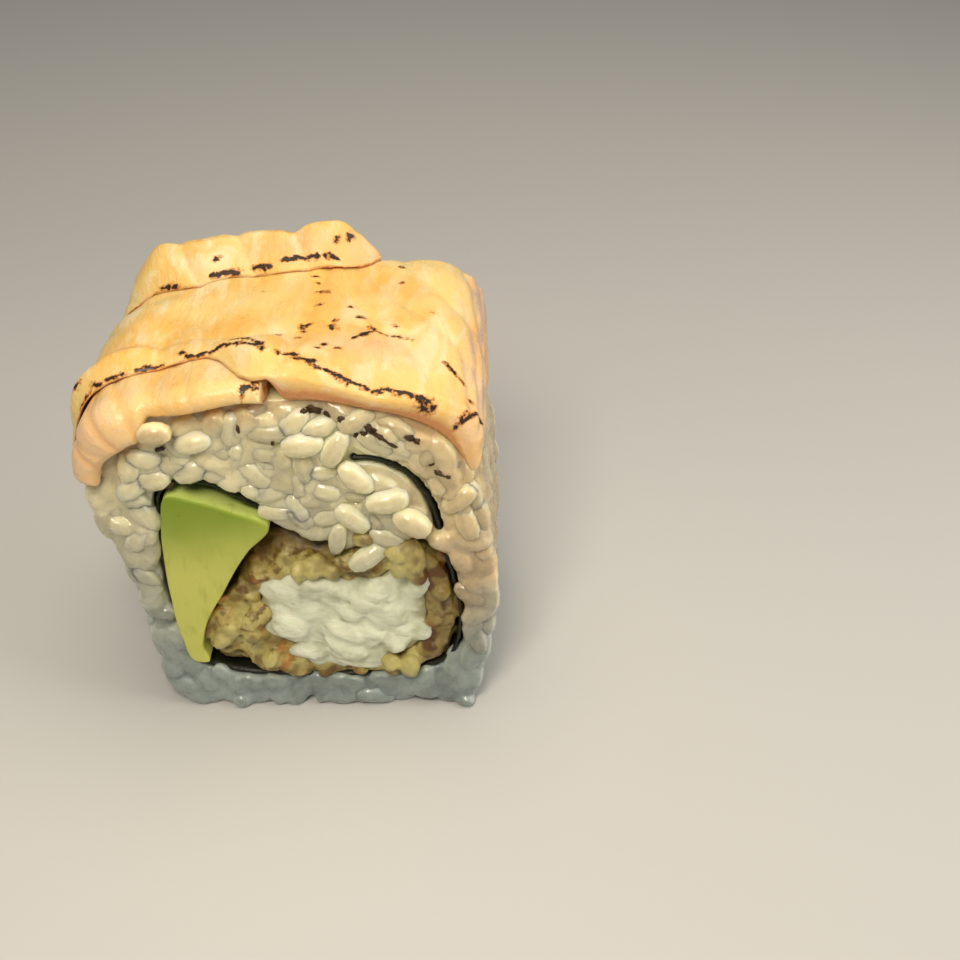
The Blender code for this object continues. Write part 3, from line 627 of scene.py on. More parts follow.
@dataclass(frozen=True)
class BatterFinish(Finish):
    """Fried batter, golden with brown pits and pale crumbs, and painted brown shade where it lies back from the
    cut.
    """

    name: str = "fried_batter"
    golden: Colour = (174, 152, 76)
    brown: Colour = (96, 62, 14)
    pale: Colour = (200, 190, 120)
    orange: Colour = (186, 124, 46)

    def cook(self, recipe: Recipe) -> None:
        """Fills in the material."""
        base = recipe.cover(self.golden, self.pale, recipe.noise(2.6, 4.0), 0.35, 0.65)
        base = recipe.cover(base, self.brown, recipe.noise(1.7, 4.0, distortion=0.4), 0.5, 0.66, 0.85)
        base = recipe.cover(base, self.orange, recipe.noise(3.4), 0.58, 0.7, 0.7)
        base = recipe.cover(base, self.pale, recipe.value("tone"), 0.6, 1.0, 0.8)
        # painted shade: brown where the batter lies back from the cut, together with the brown pits and a
        # darker right end
        base = recipe.mix(recipe.math("MULTIPLY", recipe.value("deep"), 0.85, True), base, self.brown)
        recipe.glow(0.15, (1.0, 0.6, 0.25), 0.8)
        recipe.set(Base_Color=base, Roughness=recipe.patchy(1.0, 0.32, 0.6), Coat_Weight=0.15,
                   Coat_Roughness=0.25)
        recipe.relief(recipe.noise(0.5, 4.0, 0.65), 0.16)


@dataclass(frozen=True)
class PrawnFinish(Finish):
    """Cooked prawn flesh: white torn fibres, with painted yellowish shade in the folds, where it lies back and
    in patches.
    """

    name: str = "prawn_flesh"
    white: Colour = (236, 240, 214)
    fold: Colour = (170, 166, 118)
    # painted shade, laid in cloudy patches
    cloud: Colour = (178, 180, 146)

    def cook(self, recipe: Recipe) -> None:
        """Fills in the material."""
        # painted shade: yellowish in fibre valleys and where the flesh lies back from the cut
        base = recipe.cover(self.white, self.fold, recipe.value("fold"), 0.3, 0.9, 0.9)
        base = recipe.cover(base, self.cloud, recipe.noise(3.0, 3.0), 0.46, 0.7, 0.6)
        recipe.glow(0.45, (1.0, 0.85, 0.6), 1.6)
        recipe.set(Base_Color=base, Roughness=recipe.patchy(1.0, 0.28, 0.5), Coat_Weight=0.2,
                   Coat_Roughness=0.2)
        recipe.relief(recipe.noise(0.6, 5.0, 0.65, stretch=(0.4, 1, 1)), 0.3)


@dataclass(frozen=True)
class SalmonFinish(Finish):
    """Torch-seared salmon: yellow-orange and oily, blistered black along its edges; cut faces brown, seared and
    painted shade.
    """

    name: str = "seared_salmon"
    yellow: Colour = (255, 220, 142)
    orange: Colour = (252, 196, 102)
    pale: Colour = (255, 234, 186)
    pink: Colour = (244, 196, 154)
    lilac: Colour = (206, 182, 170)
    cut: Colour = (214, 146, 88)
    toasted: Colour = (196, 122, 44)
    char: Colour = (46, 28, 12)

    def cook(self, recipe: Recipe) -> None:
        """Fills in the material."""
        patch = recipe.noise(11.0, stretch=(1, 1, 0.6))
        base = recipe.cover(self.yellow, self.orange, patch, 0.38, 0.66)
        streaks = recipe.noise(3.4, 3.0, stretch=(1, 0.35, 1), distortion=0.8)
        base = recipe.cover(base, self.pale, streaks, 0.42, 0.7, 0.85)
        base = recipe.mix(recipe.value("warm"), base, self.orange)
        base = recipe.mix(recipe.value("pink"), base, self.pink)
        ribs = recipe.ranged(recipe.noise(1.8, stretch=(1, 0.2, 0.6)), 0.35, 0.65)
        base = recipe.mix(recipe.math("MULTIPLY", recipe.value("grey"), ribs), base, self.lilac)
        # painted shade with some browning on the cut faces and the underside
        base = recipe.mix(recipe.value("cut"), base, self.cut)
        blister = recipe.math("MULTIPLY", recipe.math("SUBTRACT", recipe.noise(0.6, 3.0, 0.6), 0.5), 2.8)
        blister = recipe.math("MULTIPLY", blister, recipe.value("scorch"))
        sear = recipe.math("ADD", recipe.value("sear"), blister)
        base = recipe.cover(base, self.toasted, sear, 0.08, 0.6, 0.85)
        burnt = recipe.ranged(sear, 0.6, 0.8)
        base = recipe.mix(burnt, base, self.char)
        oily = recipe.patchy(2.4, 0.26, 0.46, 3.0)
        rough = recipe.math("ADD", oily, recipe.math("MULTIPLY", burnt, 0.25))
        recipe.glow(0.25, (1.0, 0.62, 0.3), 2.0)
        recipe.set(Base_Color=base, Roughness=rough, IOR=1.45, Coat_Weight=0.25, Coat_Roughness=0.2)
        fibres = recipe.noise(1.0, 6.0, 0.62, stretch=(1, 0.35, 1), distortion=0.6)
        recipe.relief(recipe.math("ADD", fibres, recipe.math("MULTIPLY", burnt, 0.2)), 0.22)


@dataclass(frozen=True)
class CharFinish(Finish):
    """Loose flakes of charred fish skin."""

    name: str = "char_flake"
    black: Colour = (30, 20, 12)
    brown: Colour = (92, 62, 26)

    def cook(self, recipe: Recipe) -> None:
        """Fills in the material."""
        base = recipe.mix(recipe.noise(0.8, 3.0), self.black, self.brown)
        recipe.set(Base_Color=base, Roughness=0.5)
        recipe.relief(recipe.noise(0.3), 0.1)


@dataclass(frozen=True)
class FloorFinish(Finish):
    """A plain pale studio floor."""

    name: str = "studio_floor"
    pale: Colour = (208, 208, 206)

    def cook(self, recipe: Recipe) -> None:
        """Fills in the material."""
        recipe.set(Base_Color=linear(self.pale), Roughness=0.75, Specular_IOR_Level=0.2)


class Bead(Enum):
    """The shape that a scatter sets on each of its points."""

    GRAIN = "grain"
    CRUMB = "crumb"


@dataclass
class Scatter:
    """Many small shapes of one kind, each turned and sized by its own point.

    Attributes:
        name: the piece's name.
        bead: the shape set on each point.
        length: a shape's length in millimetres.
        width: its width.
        wobble: how far its surface wanders.
        wobble_size: how far apart those wanderings lie.
        seed: what fixes them.
    """

    name: str
    bead: Bead
    length: float
    width: float
    wobble: float
    wobble_size: float
    seed: int
    places: list[Array] = field(default_factory=list)
    turns: list[tuple[float, float, float]] = field(default_factory=list)
    sizes: list[tuple[float, float, float]] = field(default_factory=list)
    values: dict[str, list[float]] = field(default_factory=dict)

    def put(self, place: Array, along: Array, out: Array, size: Sequence[float], **values: float) -> None:
        """Adds one shape.

        Args:
            place: its middle in millimetres.
            along: the way its length runs.
            out: the way out of the surface that it lies on.
            size: its length, width and thickness as shares of the usual.
            **values: attributes that its material reads.
        """
        along = np.array(along, float) / np.linalg.norm(along)
        out = np.array(out, float) - np.dot(out, along) * along
        out /= np.linalg.norm(out)
        across = np.cross(out, along)
        turn = Matrix(np.column_stack([across, out, along]).tolist()).to_euler()
        self.places.append(np.array(place, float))
        self.turns.append(tuple(turn))
        self.sizes.append((size[1], size[2], size[0]))
        for key, value in values.items():
            self.values.setdefault(key, []).append(value)

    def tree(self, material: bpy.types.Material) -> tuple[bpy.types.NodeTree, dict[str, float]]:
        """The Geometry Nodes that make the shapes.

        Args:
            material: what they are dressed in.

        Returns:
            The node tree, and each size that the modifier sets, by socket identifier.
        """
        tree = bpy.data.node_groups.new(self.name, "GeometryNodeTree")
        tree.interface.new_socket("Points", in_out="INPUT", socket_type="NodeSocketGeometry")
        tree.interface.new_socket("Shapes", in_out="OUTPUT", socket_type="NodeSocketGeometry")
        sizes = {"Length": self.length * MM, "Width": self.width * MM, "Wobble": self.wobble * MM,
                 "Wobble Size": self.wobble_size * MM, "Seed": float(self.seed)}
        wanted = {}
        for name, value in sizes.items():
            socket = tree.interface.new_socket(name, in_out="INPUT", socket_type="NodeSocketFloat")
            wanted[socket.identifier] = value
        graph = Graph(tree)
        given = graph.add("NodeGroupInput").outputs
        turn = graph.add("FunctionNodeEulerToRotation", {0: self.read(graph, "turn")}).outputs[0]
        set_out = graph.add("GeometryNodeInstanceOnPoints", {
            "Points": given["Points"], "Instance": self.shape(graph, given), "Rotation": turn,
            "Scale": self.read(graph, "stretch"),
        })
        solid = graph.add("GeometryNodeRealizeInstances", {0: set_out.outputs[0]}).outputs[0]
        bent = graph.add("GeometryNodeSetPosition", {"Geometry": solid, "Offset": self.push(graph, given)})
        smooth = graph.add("GeometryNodeSetShadeSmooth", {0: bent.outputs[0]})
        dressed = graph.add("GeometryNodeSetMaterial", {"Geometry": smooth.outputs[0], "Material": material})
        graph.add("NodeGroupOutput", {0: dressed.outputs[0]})
        return tree, wanted

    def shape(self, graph: Graph, given: bpy.types.NodeOutputs) -> Socket:
        """One shape at the usual size, its length along Z."""
        if self.bead is Bead.GRAIN:
            ball = graph.add("GeometryNodeMeshUVSphere", {"Segments": 8, "Rings": 6, "Radius": 0.5})
            ball = self.blunt(graph, ball.outputs["Mesh"])
        else:
            ball = graph.add("GeometryNodeMeshIcoSphere", {"Subdivisions": 2, "Radius": 0.55}).outputs["Mesh"]
        extent = graph.add("ShaderNodeCombineXYZ", {0: given["Width"], 1: given["Width"], 2: given["Length"]})
        return graph.add("GeometryNodeTransform", {"Geometry": ball, "Scale": extent.outputs[0]}).outputs[0]

    @staticmethod
    def push(graph: Graph, given: bpy.types.NodeOutputs) -> Socket:
        """How far each point wanders from the plain shape."""
        place = graph.add("GeometryNodeInputPosition").outputs[0]
        scaled = graph.vector("SCALE", {0: place, 3: graph.math("DIVIDE", 1.0, given["Wobble Size"])})
        inputs = {"Vector": scaled, "W": given["Seed"], "Scale": 1.0, "Detail": 1.0}
        noise = graph.add("ShaderNodeTexNoise", inputs, noise_dimensions="4D").outputs["Color"]
        centred = graph.vector("SUBTRACT", {0: noise, 1: (0.5, 0.5, 0.5)})
        return graph.vector("SCALE", {0: centred, 3: given["Wobble"]})

    @staticmethod
    def read(graph: Graph, name: str) -> Socket:
        """A vector attribute of the points."""
        kind = "GeometryNodeInputNamedAttribute"
        return graph.add(kind, {"Name": name}, data_type="FLOAT_VECTOR").outputs[0]

    @staticmethod
    def blunt(graph: Graph, ball: Socket) -> Socket:
        """The ball with fuller ends, as a cooked grain has."""
        place = graph.add("GeometryNodeInputPosition").outputs[0]
        parts = graph.add("ShaderNodeSeparateXYZ", {0: place}).outputs
        flat = graph.add("ShaderNodeCombineXYZ", {0: parts[0], 1: parts[1]}).outputs[0]
        girth = graph.add("ShaderNodeVectorMath", {0: flat}, operation="LENGTH").outputs["Value"]
        fuller = graph.math("POWER", graph.math("MULTIPLY", graph.math("MAXIMUM", girth, 0.02), 2.0), -0.22)
        wide = graph.vector("SCALE", {0: flat, 3: fuller})
        height = graph.add("ShaderNodeCombineXYZ", {2: parts[2]}).outputs[0]
        whole = graph.vector("ADD", {0: wide, 1: height})
        return graph.add("GeometryNodeSetPosition", {"Geometry": ball, "Position": whole}).outputs[0]

    def build(self, finish: Finish) -> bpy.types.Object:
        """Realises every shape as one plain mesh.

        Args:
            finish: what they are dressed in.

        Returns:
            The object, settled with the roll and standing on the ground.
        """
        made = self.realised(finish, settle(np.array(self.places)))
        spots, _ = points_of(made)
        spots[:, 2] = np.maximum(spots[:, 2], 0.0)
        move_points(made, spots)
        return new_object(self.name, made)

    def unsettled(self, finish: Finish) -> Mesh:
        """Every shape in one mesh in millimetres, before the roll settles."""
        made = self.realised(finish, np.array(self.places) * MM)
        move_points(made, points_of(made)[0] / MM)
        return made

    def realised(self, finish: Finish, places: Array) -> Mesh:
        """Every shape in one plain mesh.

        Args:
            finish: what they are dressed in.
            places: their middles in metres.

        Returns:
            The mesh, in metres.
        """
        mesh = bpy.data.meshes.new(self.name)
        mesh.from_pydata(places.tolist(), [], [])
        for key, rows in {"turn": self.turns, "stretch": self.sizes}.items():
            attribute = mesh.attributes.new(key, "FLOAT_VECTOR", "POINT")
            attribute.data.foreach_set("vector", np.array(rows, np.float32).ravel())
        set_values(mesh, **self.values)
        piece = new_object(self.name, mesh)
        tree, wanted = self.tree(finish.material())
        modifier = piece.modifiers.new("scatter", "NODES")
        modifier.node_group = tree
        for identifier, value in wanted.items():
            modifier[identifier] = value
        made = evaluated_mesh(piece)
        bpy.data.objects.remove(piece)
        for key in ("turn", "stretch"):
            if key in made.attributes:
                made.attributes.remove(made.attributes[key])
        return made


def nearest_values(places: Array, scatter: Scatter, key: str) -> Array:
    """Each place's value, taken from the nearest shape of a scatter."""
    near = KDTree(len(scatter.places))
    for k, place in enumerate(scatter.places):
        near.insert(place, k)
    near.balance()
    return np.array(scatter.values[key])[[near.find(place)[1] for place in places]]


class RollForm:
    """The outlines that the foods share, as (x, z) points in millimetres."""

    RICE_OUTLINE: Line = (
        (0.0, 0.0), (-12.0, 0.0), (-18.4, 0.0), (-21.0, 2.0), (-22.2, 8.5), (-23.7, 17.5), (-24.4, 27.0),
        (-25.9, 32.5), (-26.5, 37.5), (-25.9, 43.0), (-23.0, 47.9), (-15.5, 50.6), (-5.0, 51.8), (3.0, 51.6),
        (9.0, 50.3), (13.6, 48.9), (17.6, 46.5), (20.6, 42.4), (22.0, 37.0), (23.3, 30.0), (23.9, 17.0),
        (22.9, 8.0), (21.4, 2.0), (19.0, 0.0), (11.0, 0.0),
    )
    SEAWEED_PATH: Line = (
        (6.4, 42.6), (10.2, 41.9), (13.8, 39.4), (16.2, 35.2), (17.5, 29.5), (19.0, 22.0), (19.9, 15.0),
        (18.5, 8.9), (14.4, 6.2), (6.0, 5.2), (-4.0, 5.2), (-12.0, 5.8), (-16.8, 8.0), (-18.9, 15.0),
        (-19.8, 24.5), (-19.6, 32.6), (-18.3, 38.1), (-15.2, 39.2), (-10.2, 37.6), (-5.4, 34.2), (-1.8, 31.0),
        (1.8, 29.0),
    )
    SEAWEED_THICK = 0.6
    TONGUE_EDGE: Line = ((4.6, 27.9), (7.6, 29.3), (10.8, 30.4), (13.6, 30.0))
    TONGUE_WALL_X, TONGUE_WALL_Z = 12.0, 28.4

    def __init__(self) -> None:
        """Works the outlines out from their own points."""
        self.outline = smooth_curve(self.RICE_OUTLINE, True, 264)
        self.outline[:, 1] = np.maximum(self.outline[:, 1], 0.0)
        self.path = smooth_curve(self.SEAWEED_PATH, False, 248)
        self.sides = left_normals(self.path, False)
        self.hole = self.hole_in_rice(self.SEAWEED_THICK / 2 + GAP)
        self.in_rice, self.in_hole = Field(self.outline), Field(self.hole)

    def seaweed_side(self, offset: float, reach: float) -> Array:
        """The seaweed's centreline moved sideways, with both ends carried on by the reach."""
        line = self.path + offset * self.sides
        ways = (line[0] - line[1], line[-1] - line[-2])
        first = line[0] + reach * ways[0] / np.linalg.norm(ways[0])
        last = line[-1] + reach * ways[1] / np.linalg.norm(ways[1])
        return np.vstack([first, line, last])

    def hole_in_rice(self, clear: float) -> Array:
        """The loop round the seaweed and the filling, with the rice curling in from the open end."""
        outer = self.seaweed_side(clear, GAP)
        inner = self.seaweed_side(-clear, GAP)
        below = (inner[:, 0] > self.TONGUE_WALL_X) & (inner[:, 1] < self.TONGUE_WALL_Z)
        wall = int(np.argmax(below))
        edge = smooth_curve([outer[-1], *self.TONGUE_EDGE, inner[wall]], False, 40)[1:-1]
        return np.vstack([outer, edge, inner[wall::-1]])


class Drape:
    """Places on the rice's outer skin: distance s along it from the crown, height above it, and y."""

    def __init__(self, outline: Array) -> None:
        """Args:
            outline: the rice's closed outline.
        """
        line = np.vstack([outline, outline[:1]])
        along = np.concatenate([[0], np.cumsum(np.linalg.norm(np.diff(line, axis=0), axis=1))])
        upper = np.where(line[:, 1] > 40)[0]
        out = left_normals(outline, True)
        self.s = along - np.interp(CROWN_X, line[upper, 0], along[upper])
        self.line = line
        self.out = np.vstack([out, out[:1]])

    def section(self, s: Array | float) -> tuple[Array, Array, Array, Array]:
        """x, z and the outward x and z at that distance from the crown."""
        x, z = (np.interp(s, self.s, self.line[:, k]) for k in range(2))
        out_x, out_z = (np.interp(s, self.s, self.out[:, k]) for k in range(2))
        size = np.hypot(out_x, out_z)
        return x, z, out_x / size, out_z / size

    def place(self, s: Array, height: Array, y: Array, middle: Array) -> Array:
        """Points there. Past the front cut a slice rolls over the rice's edge and down its face.

        Args:
            s: distance from the crown.
            height: height above the rice.
            y: place along the roll, past the cut where it hangs over.
            middle: height of the slice's middle layer, which keeps its length as it rolls.

        Returns:
            Rows of x, y and z in millimetres.
        """
        over = np.maximum(FRONT - y, 0.0)
        angle = np.minimum(over / middle, math.pi / 2)
        rest = np.maximum(over - middle * math.pi / 2, 0.0)
        y = np.where(over > 0, FRONT - height * np.sin(angle), y)
        height = height * np.cos(angle) - rest
        x, z, out_x, out_z = self.section(s)
        return np.column_stack([x + out_x * height, y, z + out_z * height])


@dataclass
class GrainBed:
    """Grains of one scatter, laid on the rice's cuts, flanks and base."""

    rice: "RiceHeap"
    scatter: Scatter
    draw: np.random.Generator
    pressed: tuple[float, float] = (27.0, 36.0)  # smeared by the knife below the first, not above the second
    overhang: float = 0.7  # of a grain, past the outline
    salmon_edge: tuple[float, float] = (34.5, 40.5)  # the heights at which the salmon ends, left and right
    flap_right: float = -2.6  # where the lowest slice ends
    tucked: float = 0.2  # in from the outline below the salmon
    flap_tucked: tuple[float, float] = (0.3, 1.9)  # further in behind the lowest slice, and at its corner
    open_above: tuple[float, float] = (35.0, 31.0)  # left and right; lower down the rice laps the seaweed
    floor_below: float = 10.0
    lap: tuple[float, float] = (0.6, 1.1)  # over the seaweed's edge; more on the floor or below the flap
    spread: float = 0.35  # of how far the cut's grains stand out
    stray: float = 0.3  # of a grain's turn from the edge that it lies along
    cut_tries: int = 6000
    flank_tries: int = 3500
    base_tries: int = 4000

    def put(self, place: Sequence[float], along: Sequence[float], out: Sequence[float],
            size: Sequence[float]) -> None:
        """Adds a grain with its colours.

        Args:
            place: its middle.
            along: the way its length runs.
            out: the way out of the surface.
            size: its length, width and thickness as shares of the usual.
        """
        blush = float(self.rice.blush_at(np.array([place], float))[0])
        tone = float(self.draw.uniform(0, 1))
        self.scatter.put(np.array(place), along, out, size, tone=tone, blush=blush)

    def size(self) -> tuple[float, float, float]:
        """A grain's length, width and thickness as shares of the usual."""
        width = self.draw.uniform(0.9, 1.12)
        return self.draw.uniform(0.82, 1.08), width, width * self.draw.uniform(0.82, 0.98)

    def rims(self, places: Array, turns: Array) -> Array:
        """Eight points round each grain lying flat on a cut."""
        way = np.column_stack([np.cos(turns), np.sin(turns)])[:, None, :]
        across = np.stack([-way[..., 1], way[..., 0]], axis=-1)
        slanted = [(0.6, 0.8), (0.6, -0.8), (-0.6, 0.8), (-0.6, -0.8)]
        half = np.array([(1, 0), (-1, 0), (0, 1), (0, -1), *slanted])
        half = half * (self.scatter.length / 2 * 0.94, self.scatter.width / 2 * 0.94)
        return places[:, None, :] + half[None, :, :1] * way + half[None, :, 1:] * across

    def fits(self, rims: Array, side: float) -> Array:
        """Whether each grain keeps off the hole and off the salmon; rims has its points round each grain."""
        flat = rims.reshape(-1, 2)
        in_hole = self.rice.form.in_hole.at(flat)
        inside = self.rice.form.in_rice.at(flat)
        x, z = flat.T
        salmon = z > np.where(x > 0, self.salmon_edge[1], self.salmon_edge[0])
        needed = np.full(len(flat), self.tucked)
        if side == FRONT:
            deeper = self.flap_tucked[0] + self.flap_tucked[1] * blend(-x, 13.0, 18.0)
            needed += np.where(x < self.flap_right + 1.5, deeper, 0.0)
        lapped = np.where((x < self.flap_right) | (z < self.floor_below), self.lap[1], self.lap[0])
        open_above = np.where(x < 0, self.open_above[0], self.open_above[1])
        good = (in_hole < np.where(z > open_above, -0.15, lapped)) & (z > -0.4)
        good &= np.where(salmon, inside > needed, inside > -self.overhang)
        return good.reshape(rims.shape[:2]).all(axis=1)

    def on_cut(self, side: float, spacing: float, proud: float, loose: bool = False) -> None:
        """Adds one layer of grains on a knife cut.

        Args:
            side: the cut's y.
            spacing: the least distance between two grains' middles.
            proud: how far their middles stand out of the cut.
            loose: whether only the rougher upper part gets them.
        """
        low, high = self.rice.form.outline.min(axis=0), self.rice.form.outline.max(axis=0)
        places = self.draw.uniform(low - 0.5, high, (self.cut_tries, 2))
        free = self.draw.uniform(0, math.pi, self.cut_tries)
        edge, wall = (
            way_along(loop, places) + self.draw.uniform(-self.stray, self.stray, self.cut_tries)
            for loop in (self.rice.form.outline, self.rice.form.hole)
        )
        kept: list[tuple[float, float, float]] = []
        for turns in (free, edge, wall):
            fit = self.fits(self.rims(places, turns), side)
            for (x, z), turn in zip(places[fit].tolist(), turns[fit].tolist()):
                if clear_of(kept, x, z, spacing):
                    kept.append((x, z, turn))
        outward = math.copysign(1, side)
        for x, z, turn in kept:
            rough = float(blend(z, *self.pressed))
            if loose:
                left_out = self.draw.uniform(0, 1) > 0.12 + 0.88 * rough
                if left_out or (side == FRONT and self.rice.by_hero(x, z)):
                    continue
            vary = self.draw.uniform(-self.spread, self.spread) * (0.5 + 0.5 * rough)
            stand = proud - 0.12 * (1 - rough) + vary
            tip = self.draw.uniform(-0.4, 0.4)
            along = (math.cos(turn), tip * outward, math.sin(turn))
            out = (self.draw.uniform(-0.3, 0.3), outward, self.draw.uniform(-0.3, 0.3))
            self.put((x, side + outward * stand, z), along, out, self.size())

    def on_flank(self, first: float, last: float, spacing: float, proud: float) -> None:
        """Adds one layer of grains on the left or right flank.

        Args:
            first: where the layer starts, as a distance from the crown.
            last: where it ends.
            spacing: the least distance between two grains' middles.
            proud: how far their middles stand out of the outline.
        """
        corners = (first, FRONT + 1.2), (last, BACK - 1.2)
        for s, y in spread_out(self.draw, *corners, self.flank_tries, spacing):
            x, z, out_x, out_z = (float(v) for v in self.rice.drape.section(s))
            turn = self.draw.uniform(0, math.pi)
            if abs(y) > BACK - 2.4:
                turn = self.draw.uniform(-self.stray, self.stray)
            elif min(s - first, last - s) < 2.0:
                turn = math.pi / 2 + self.draw.uniform(-0.4, 0.4)
            stand = proud + self.draw.uniform(-0.3, 0.3)
            along = (out_z * math.cos(turn), math.sin(turn), -out_x * math.cos(turn))
            out = (out_x + self.draw.uniform(-0.25, 0.25), self.draw.uniform(-0.25, 0.25), out_z)
            self.put((x + out_x * stand, y, z + out_z * stand), along, out, self.size())

    def on_base(self) -> None:
        """Adds the grains that the piece stands on, pressed flat."""
        corners = (-19.5, FRONT + 1.4), (20.0, BACK - 1.4)
        for x, y in spread_out(self.draw, *corners, self.base_tries, spacing=3.2):
            turn = self.draw.uniform(0, math.pi)
            along = (math.cos(turn), math.sin(turn), 0)
            self.put((x, y, self.draw.uniform(0.8, 1.1)), along, (0, 0, -1), self.size())


@dataclass
class RiceHeap:
    """The rice: a lumpy core, and the grains that show on every side of it."""

    form: RollForm
    drape: Drape
    grain_length: float = 5.8
    grain_width: float = 3.15
    core_recess: float = 0.8
    skin_voxel: float = 0.4
    skin_triangles: int = 190_000
    # layers just below the salmon on the left: where each starts and ends, and how far it stands out
    left_bulge: tuple[tuple[float, float, float], ...] = ((-44.0, -33.0, 0.2), (-40.5, -33.2, 0.9))
    seed: int = 21
    heroes: tuple[tuple[float, ...], ...] = (
        # x, y, z, turn and tip in degrees, length, width
        (10.9, -16.6, 37.0, 8, 6, 1.02, 1.12), (14.0, -16.9, 33.7, -30, -8, 0.98, 1.18),
        (8.0, -16.7, 28.0, 32, 12, 1.06, 0.98), (10.4, -16.1, 30.6, -20, 0, 0.9, 0.95),
        (4.0, -16.3, 30.6, 78, -6, 0.95, 0.85), (0.6, -16.5, 45.9, 6, 4, 1.0, 1.15),
        (4.6, -16.4, 45.2, 62, 8, 0.95, 1.05), (6.2, -16.5, 34.2, -42, 0, 1.0, 1.0),
        (-13.0, -16.4, 46.3, 14, 4, 0.9, 1.05), (7.0, -16.4, 40.6, -50, 6, 1.0, 1.0),
        (-17.2, -18.8, 49.0, 4, 0, 0.78, 1.0),
    )

    def build(self) -> None:
        """Makes the sticky heap, and the grains that lie loose on it."""
        self.pieces = [new_object("rice_heap", self.heap()), self.loose_grains()]
        for piece in self.pieces:
            finish_piece(piece, RiceFinish(), "rice", "rice")

    def bed(self, name: str, seed: int) -> GrainBed:
        """A bed with no grains yet."""
        scatter = Scatter(name, Bead.GRAIN, self.grain_length, self.grain_width, 0.75, 3.6, self.seed)
        return GrainBed(self, scatter, np.random.default_rng(seed))

    def heap(self) -> Mesh:
        """The core and the grains that are stuck to it, melted into one skin."""
        bed = self.bed("rice_bed", self.seed)
        for side in (FRONT, BACK):
            bed.on_cut(side, spacing=2.2, proud=-0.8)
        for first, last in self.flanks():
            bed.on_flank(first, last, spacing=2.3, proud=-0.5)
        for first, last, proud in self.left_bulge:
            bed.on_flank(first, last, spacing=2.4, proud=proud)
        bed.on_base()
        parts = [self.core(), bed.scatter.unsettled(RiceFinish())]
        mesh = melted("rice_heap", parts, self.skin_voxel, 1, self.skin_triangles)
        places, normals = points_of(mesh)
        places = places + normals * (0.1 * Lumps(1.3, self.seed + 2, 2).at(places))[:, None]
        places[:, 2] = np.maximum(places[:, 2], 0.0)
        tones = nearest_values(places, bed.scatter, "tone")
        # rim drives the painted glow round each grain
        set_values(mesh, tone=tones, blush=self.blush_at(places), rim=self.rim_glow_at(places, normals))
        move_points(mesh, settle(places))
        mesh.shade_smooth()
        return mesh

    def flanks(self) -> tuple[tuple[float, float], tuple[float, float]]:
        """Where the bare left and right flanks start and end, as distances from the crown."""
        low, high = self.drape.s[0], self.drape.s[-1]
        return (low + 19.0, -32.0), (26.8, high - 20.0)

    def core(self) -> Mesh:
        """The solid heap inside, in millimetres, a little smaller than its outline."""
        recess = self.core_recess
        covered = blend(self.form.outline[:, 1], 34.0, 38.0)[:, None]
        outer = self.form.outline - (recess - 0.6 * covered) * left_normals(self.form.outline, True)
        outer[:, 1] = np.maximum(outer[:, 1], 0.3)
        hole = self.form.hole_in_rice(self.form.SEAWEED_THICK / 2 + GAP + 0.05)
        curve = bpy.data.curves.new("core_section", "CURVE")
        curve.dimensions = "2D"
        curve.fill_mode = "BOTH"
        curve.extrude = BACK - recess
        for loop in (outer, hole):
            spline = curve.splines.new("POLY")
            spline.points.add(len(loop) - 1)
            spline.points.foreach_set("co", np.column_stack([loop, np.zeros((len(loop), 2))]).ravel())
            spline.use_cyclic_u = True
        holder = new_object("core_section", curve)
        mesh = evaluated_mesh(holder)
        bpy.data.objects.remove(holder)
        places, _ = points_of(mesh)
        return mesh_from("rice_core", places[:, [0, 2, 1]], [p.vertices for p in mesh.polygons])

    def blush_at(self, places: Array) -> Array:
        """How much darker orange the rice is at each point: near its outline below the salmon, and low on its
        right.
        """
        depth = self.form.in_rice.at(places[:, [0, 2]])
        upper = np.where(places[:, 0] < 0, blend(places[:, 2], 38.0, 46.0), blend(places[:, 2], 43.0, 49.0))
        blotch = 0.6 + 0.4 * Lumps(5.0, self.seed + 9).at(places)
        amber = 0.95 * blend(places[:, 0], 9.0, 20.0) * blend(places[:, 2], 8.0, 26.0)
        return np.clip((upper * (1 - blend(depth, 0.5, 5.0)) + amber) * blotch, 0, 1)

    @staticmethod
    def rim_glow_at(places: Array, normals: Array) -> Array:
        """How far each point's face turns away from the heap's own surface, from 0 to 1, for a painted glow."""
        at_cut = np.abs(places[:, 1]) > BACK - 1.6
        return 1 - np.abs(np.where(at_cut, normals[:, 1], normals[:, 0]))

    def loose_grains(self) -> bpy.types.Object:
        """The grains that stand out of the heap, in one mesh. The last one lies on the salmon, with half the
        orange tint.
        """
        bed = self.bed("rice_grains", self.seed + 1)
        for side in (FRONT, BACK):
            bed.on_cut(side, spacing=2.5, proud=-0.55, loose=True)
        for first, last in self.flanks():
            bed.on_flank(first, last, spacing=3.2, proud=-0.5)
        for x, y, z, turn, tip, length, width in self.heroes:
            way = math.radians(turn)
            along = (math.cos(way), math.sin(math.radians(tip)), math.sin(way))
            bed.put((x, y, z), along, (0, -1, 0), (length, width, width))
        bed.scatter.values["blush"][-1] = 0.5
        grains = bed.scatter.build(RiceFinish())
        places, normals = points_of(grains.data)
        # rim drives the painted glow round each grain
        set_values(grains.data, rim=self.rim_glow_at(places / MM, normals))
        return grains

    def by_hero(self, x: float, z: float) -> bool:
        """Whether a grain there would crowd one that was placed one by one."""
        return any(math.hypot(x - hero[0], z - hero[2]) < 2.4 for hero in self.heroes)


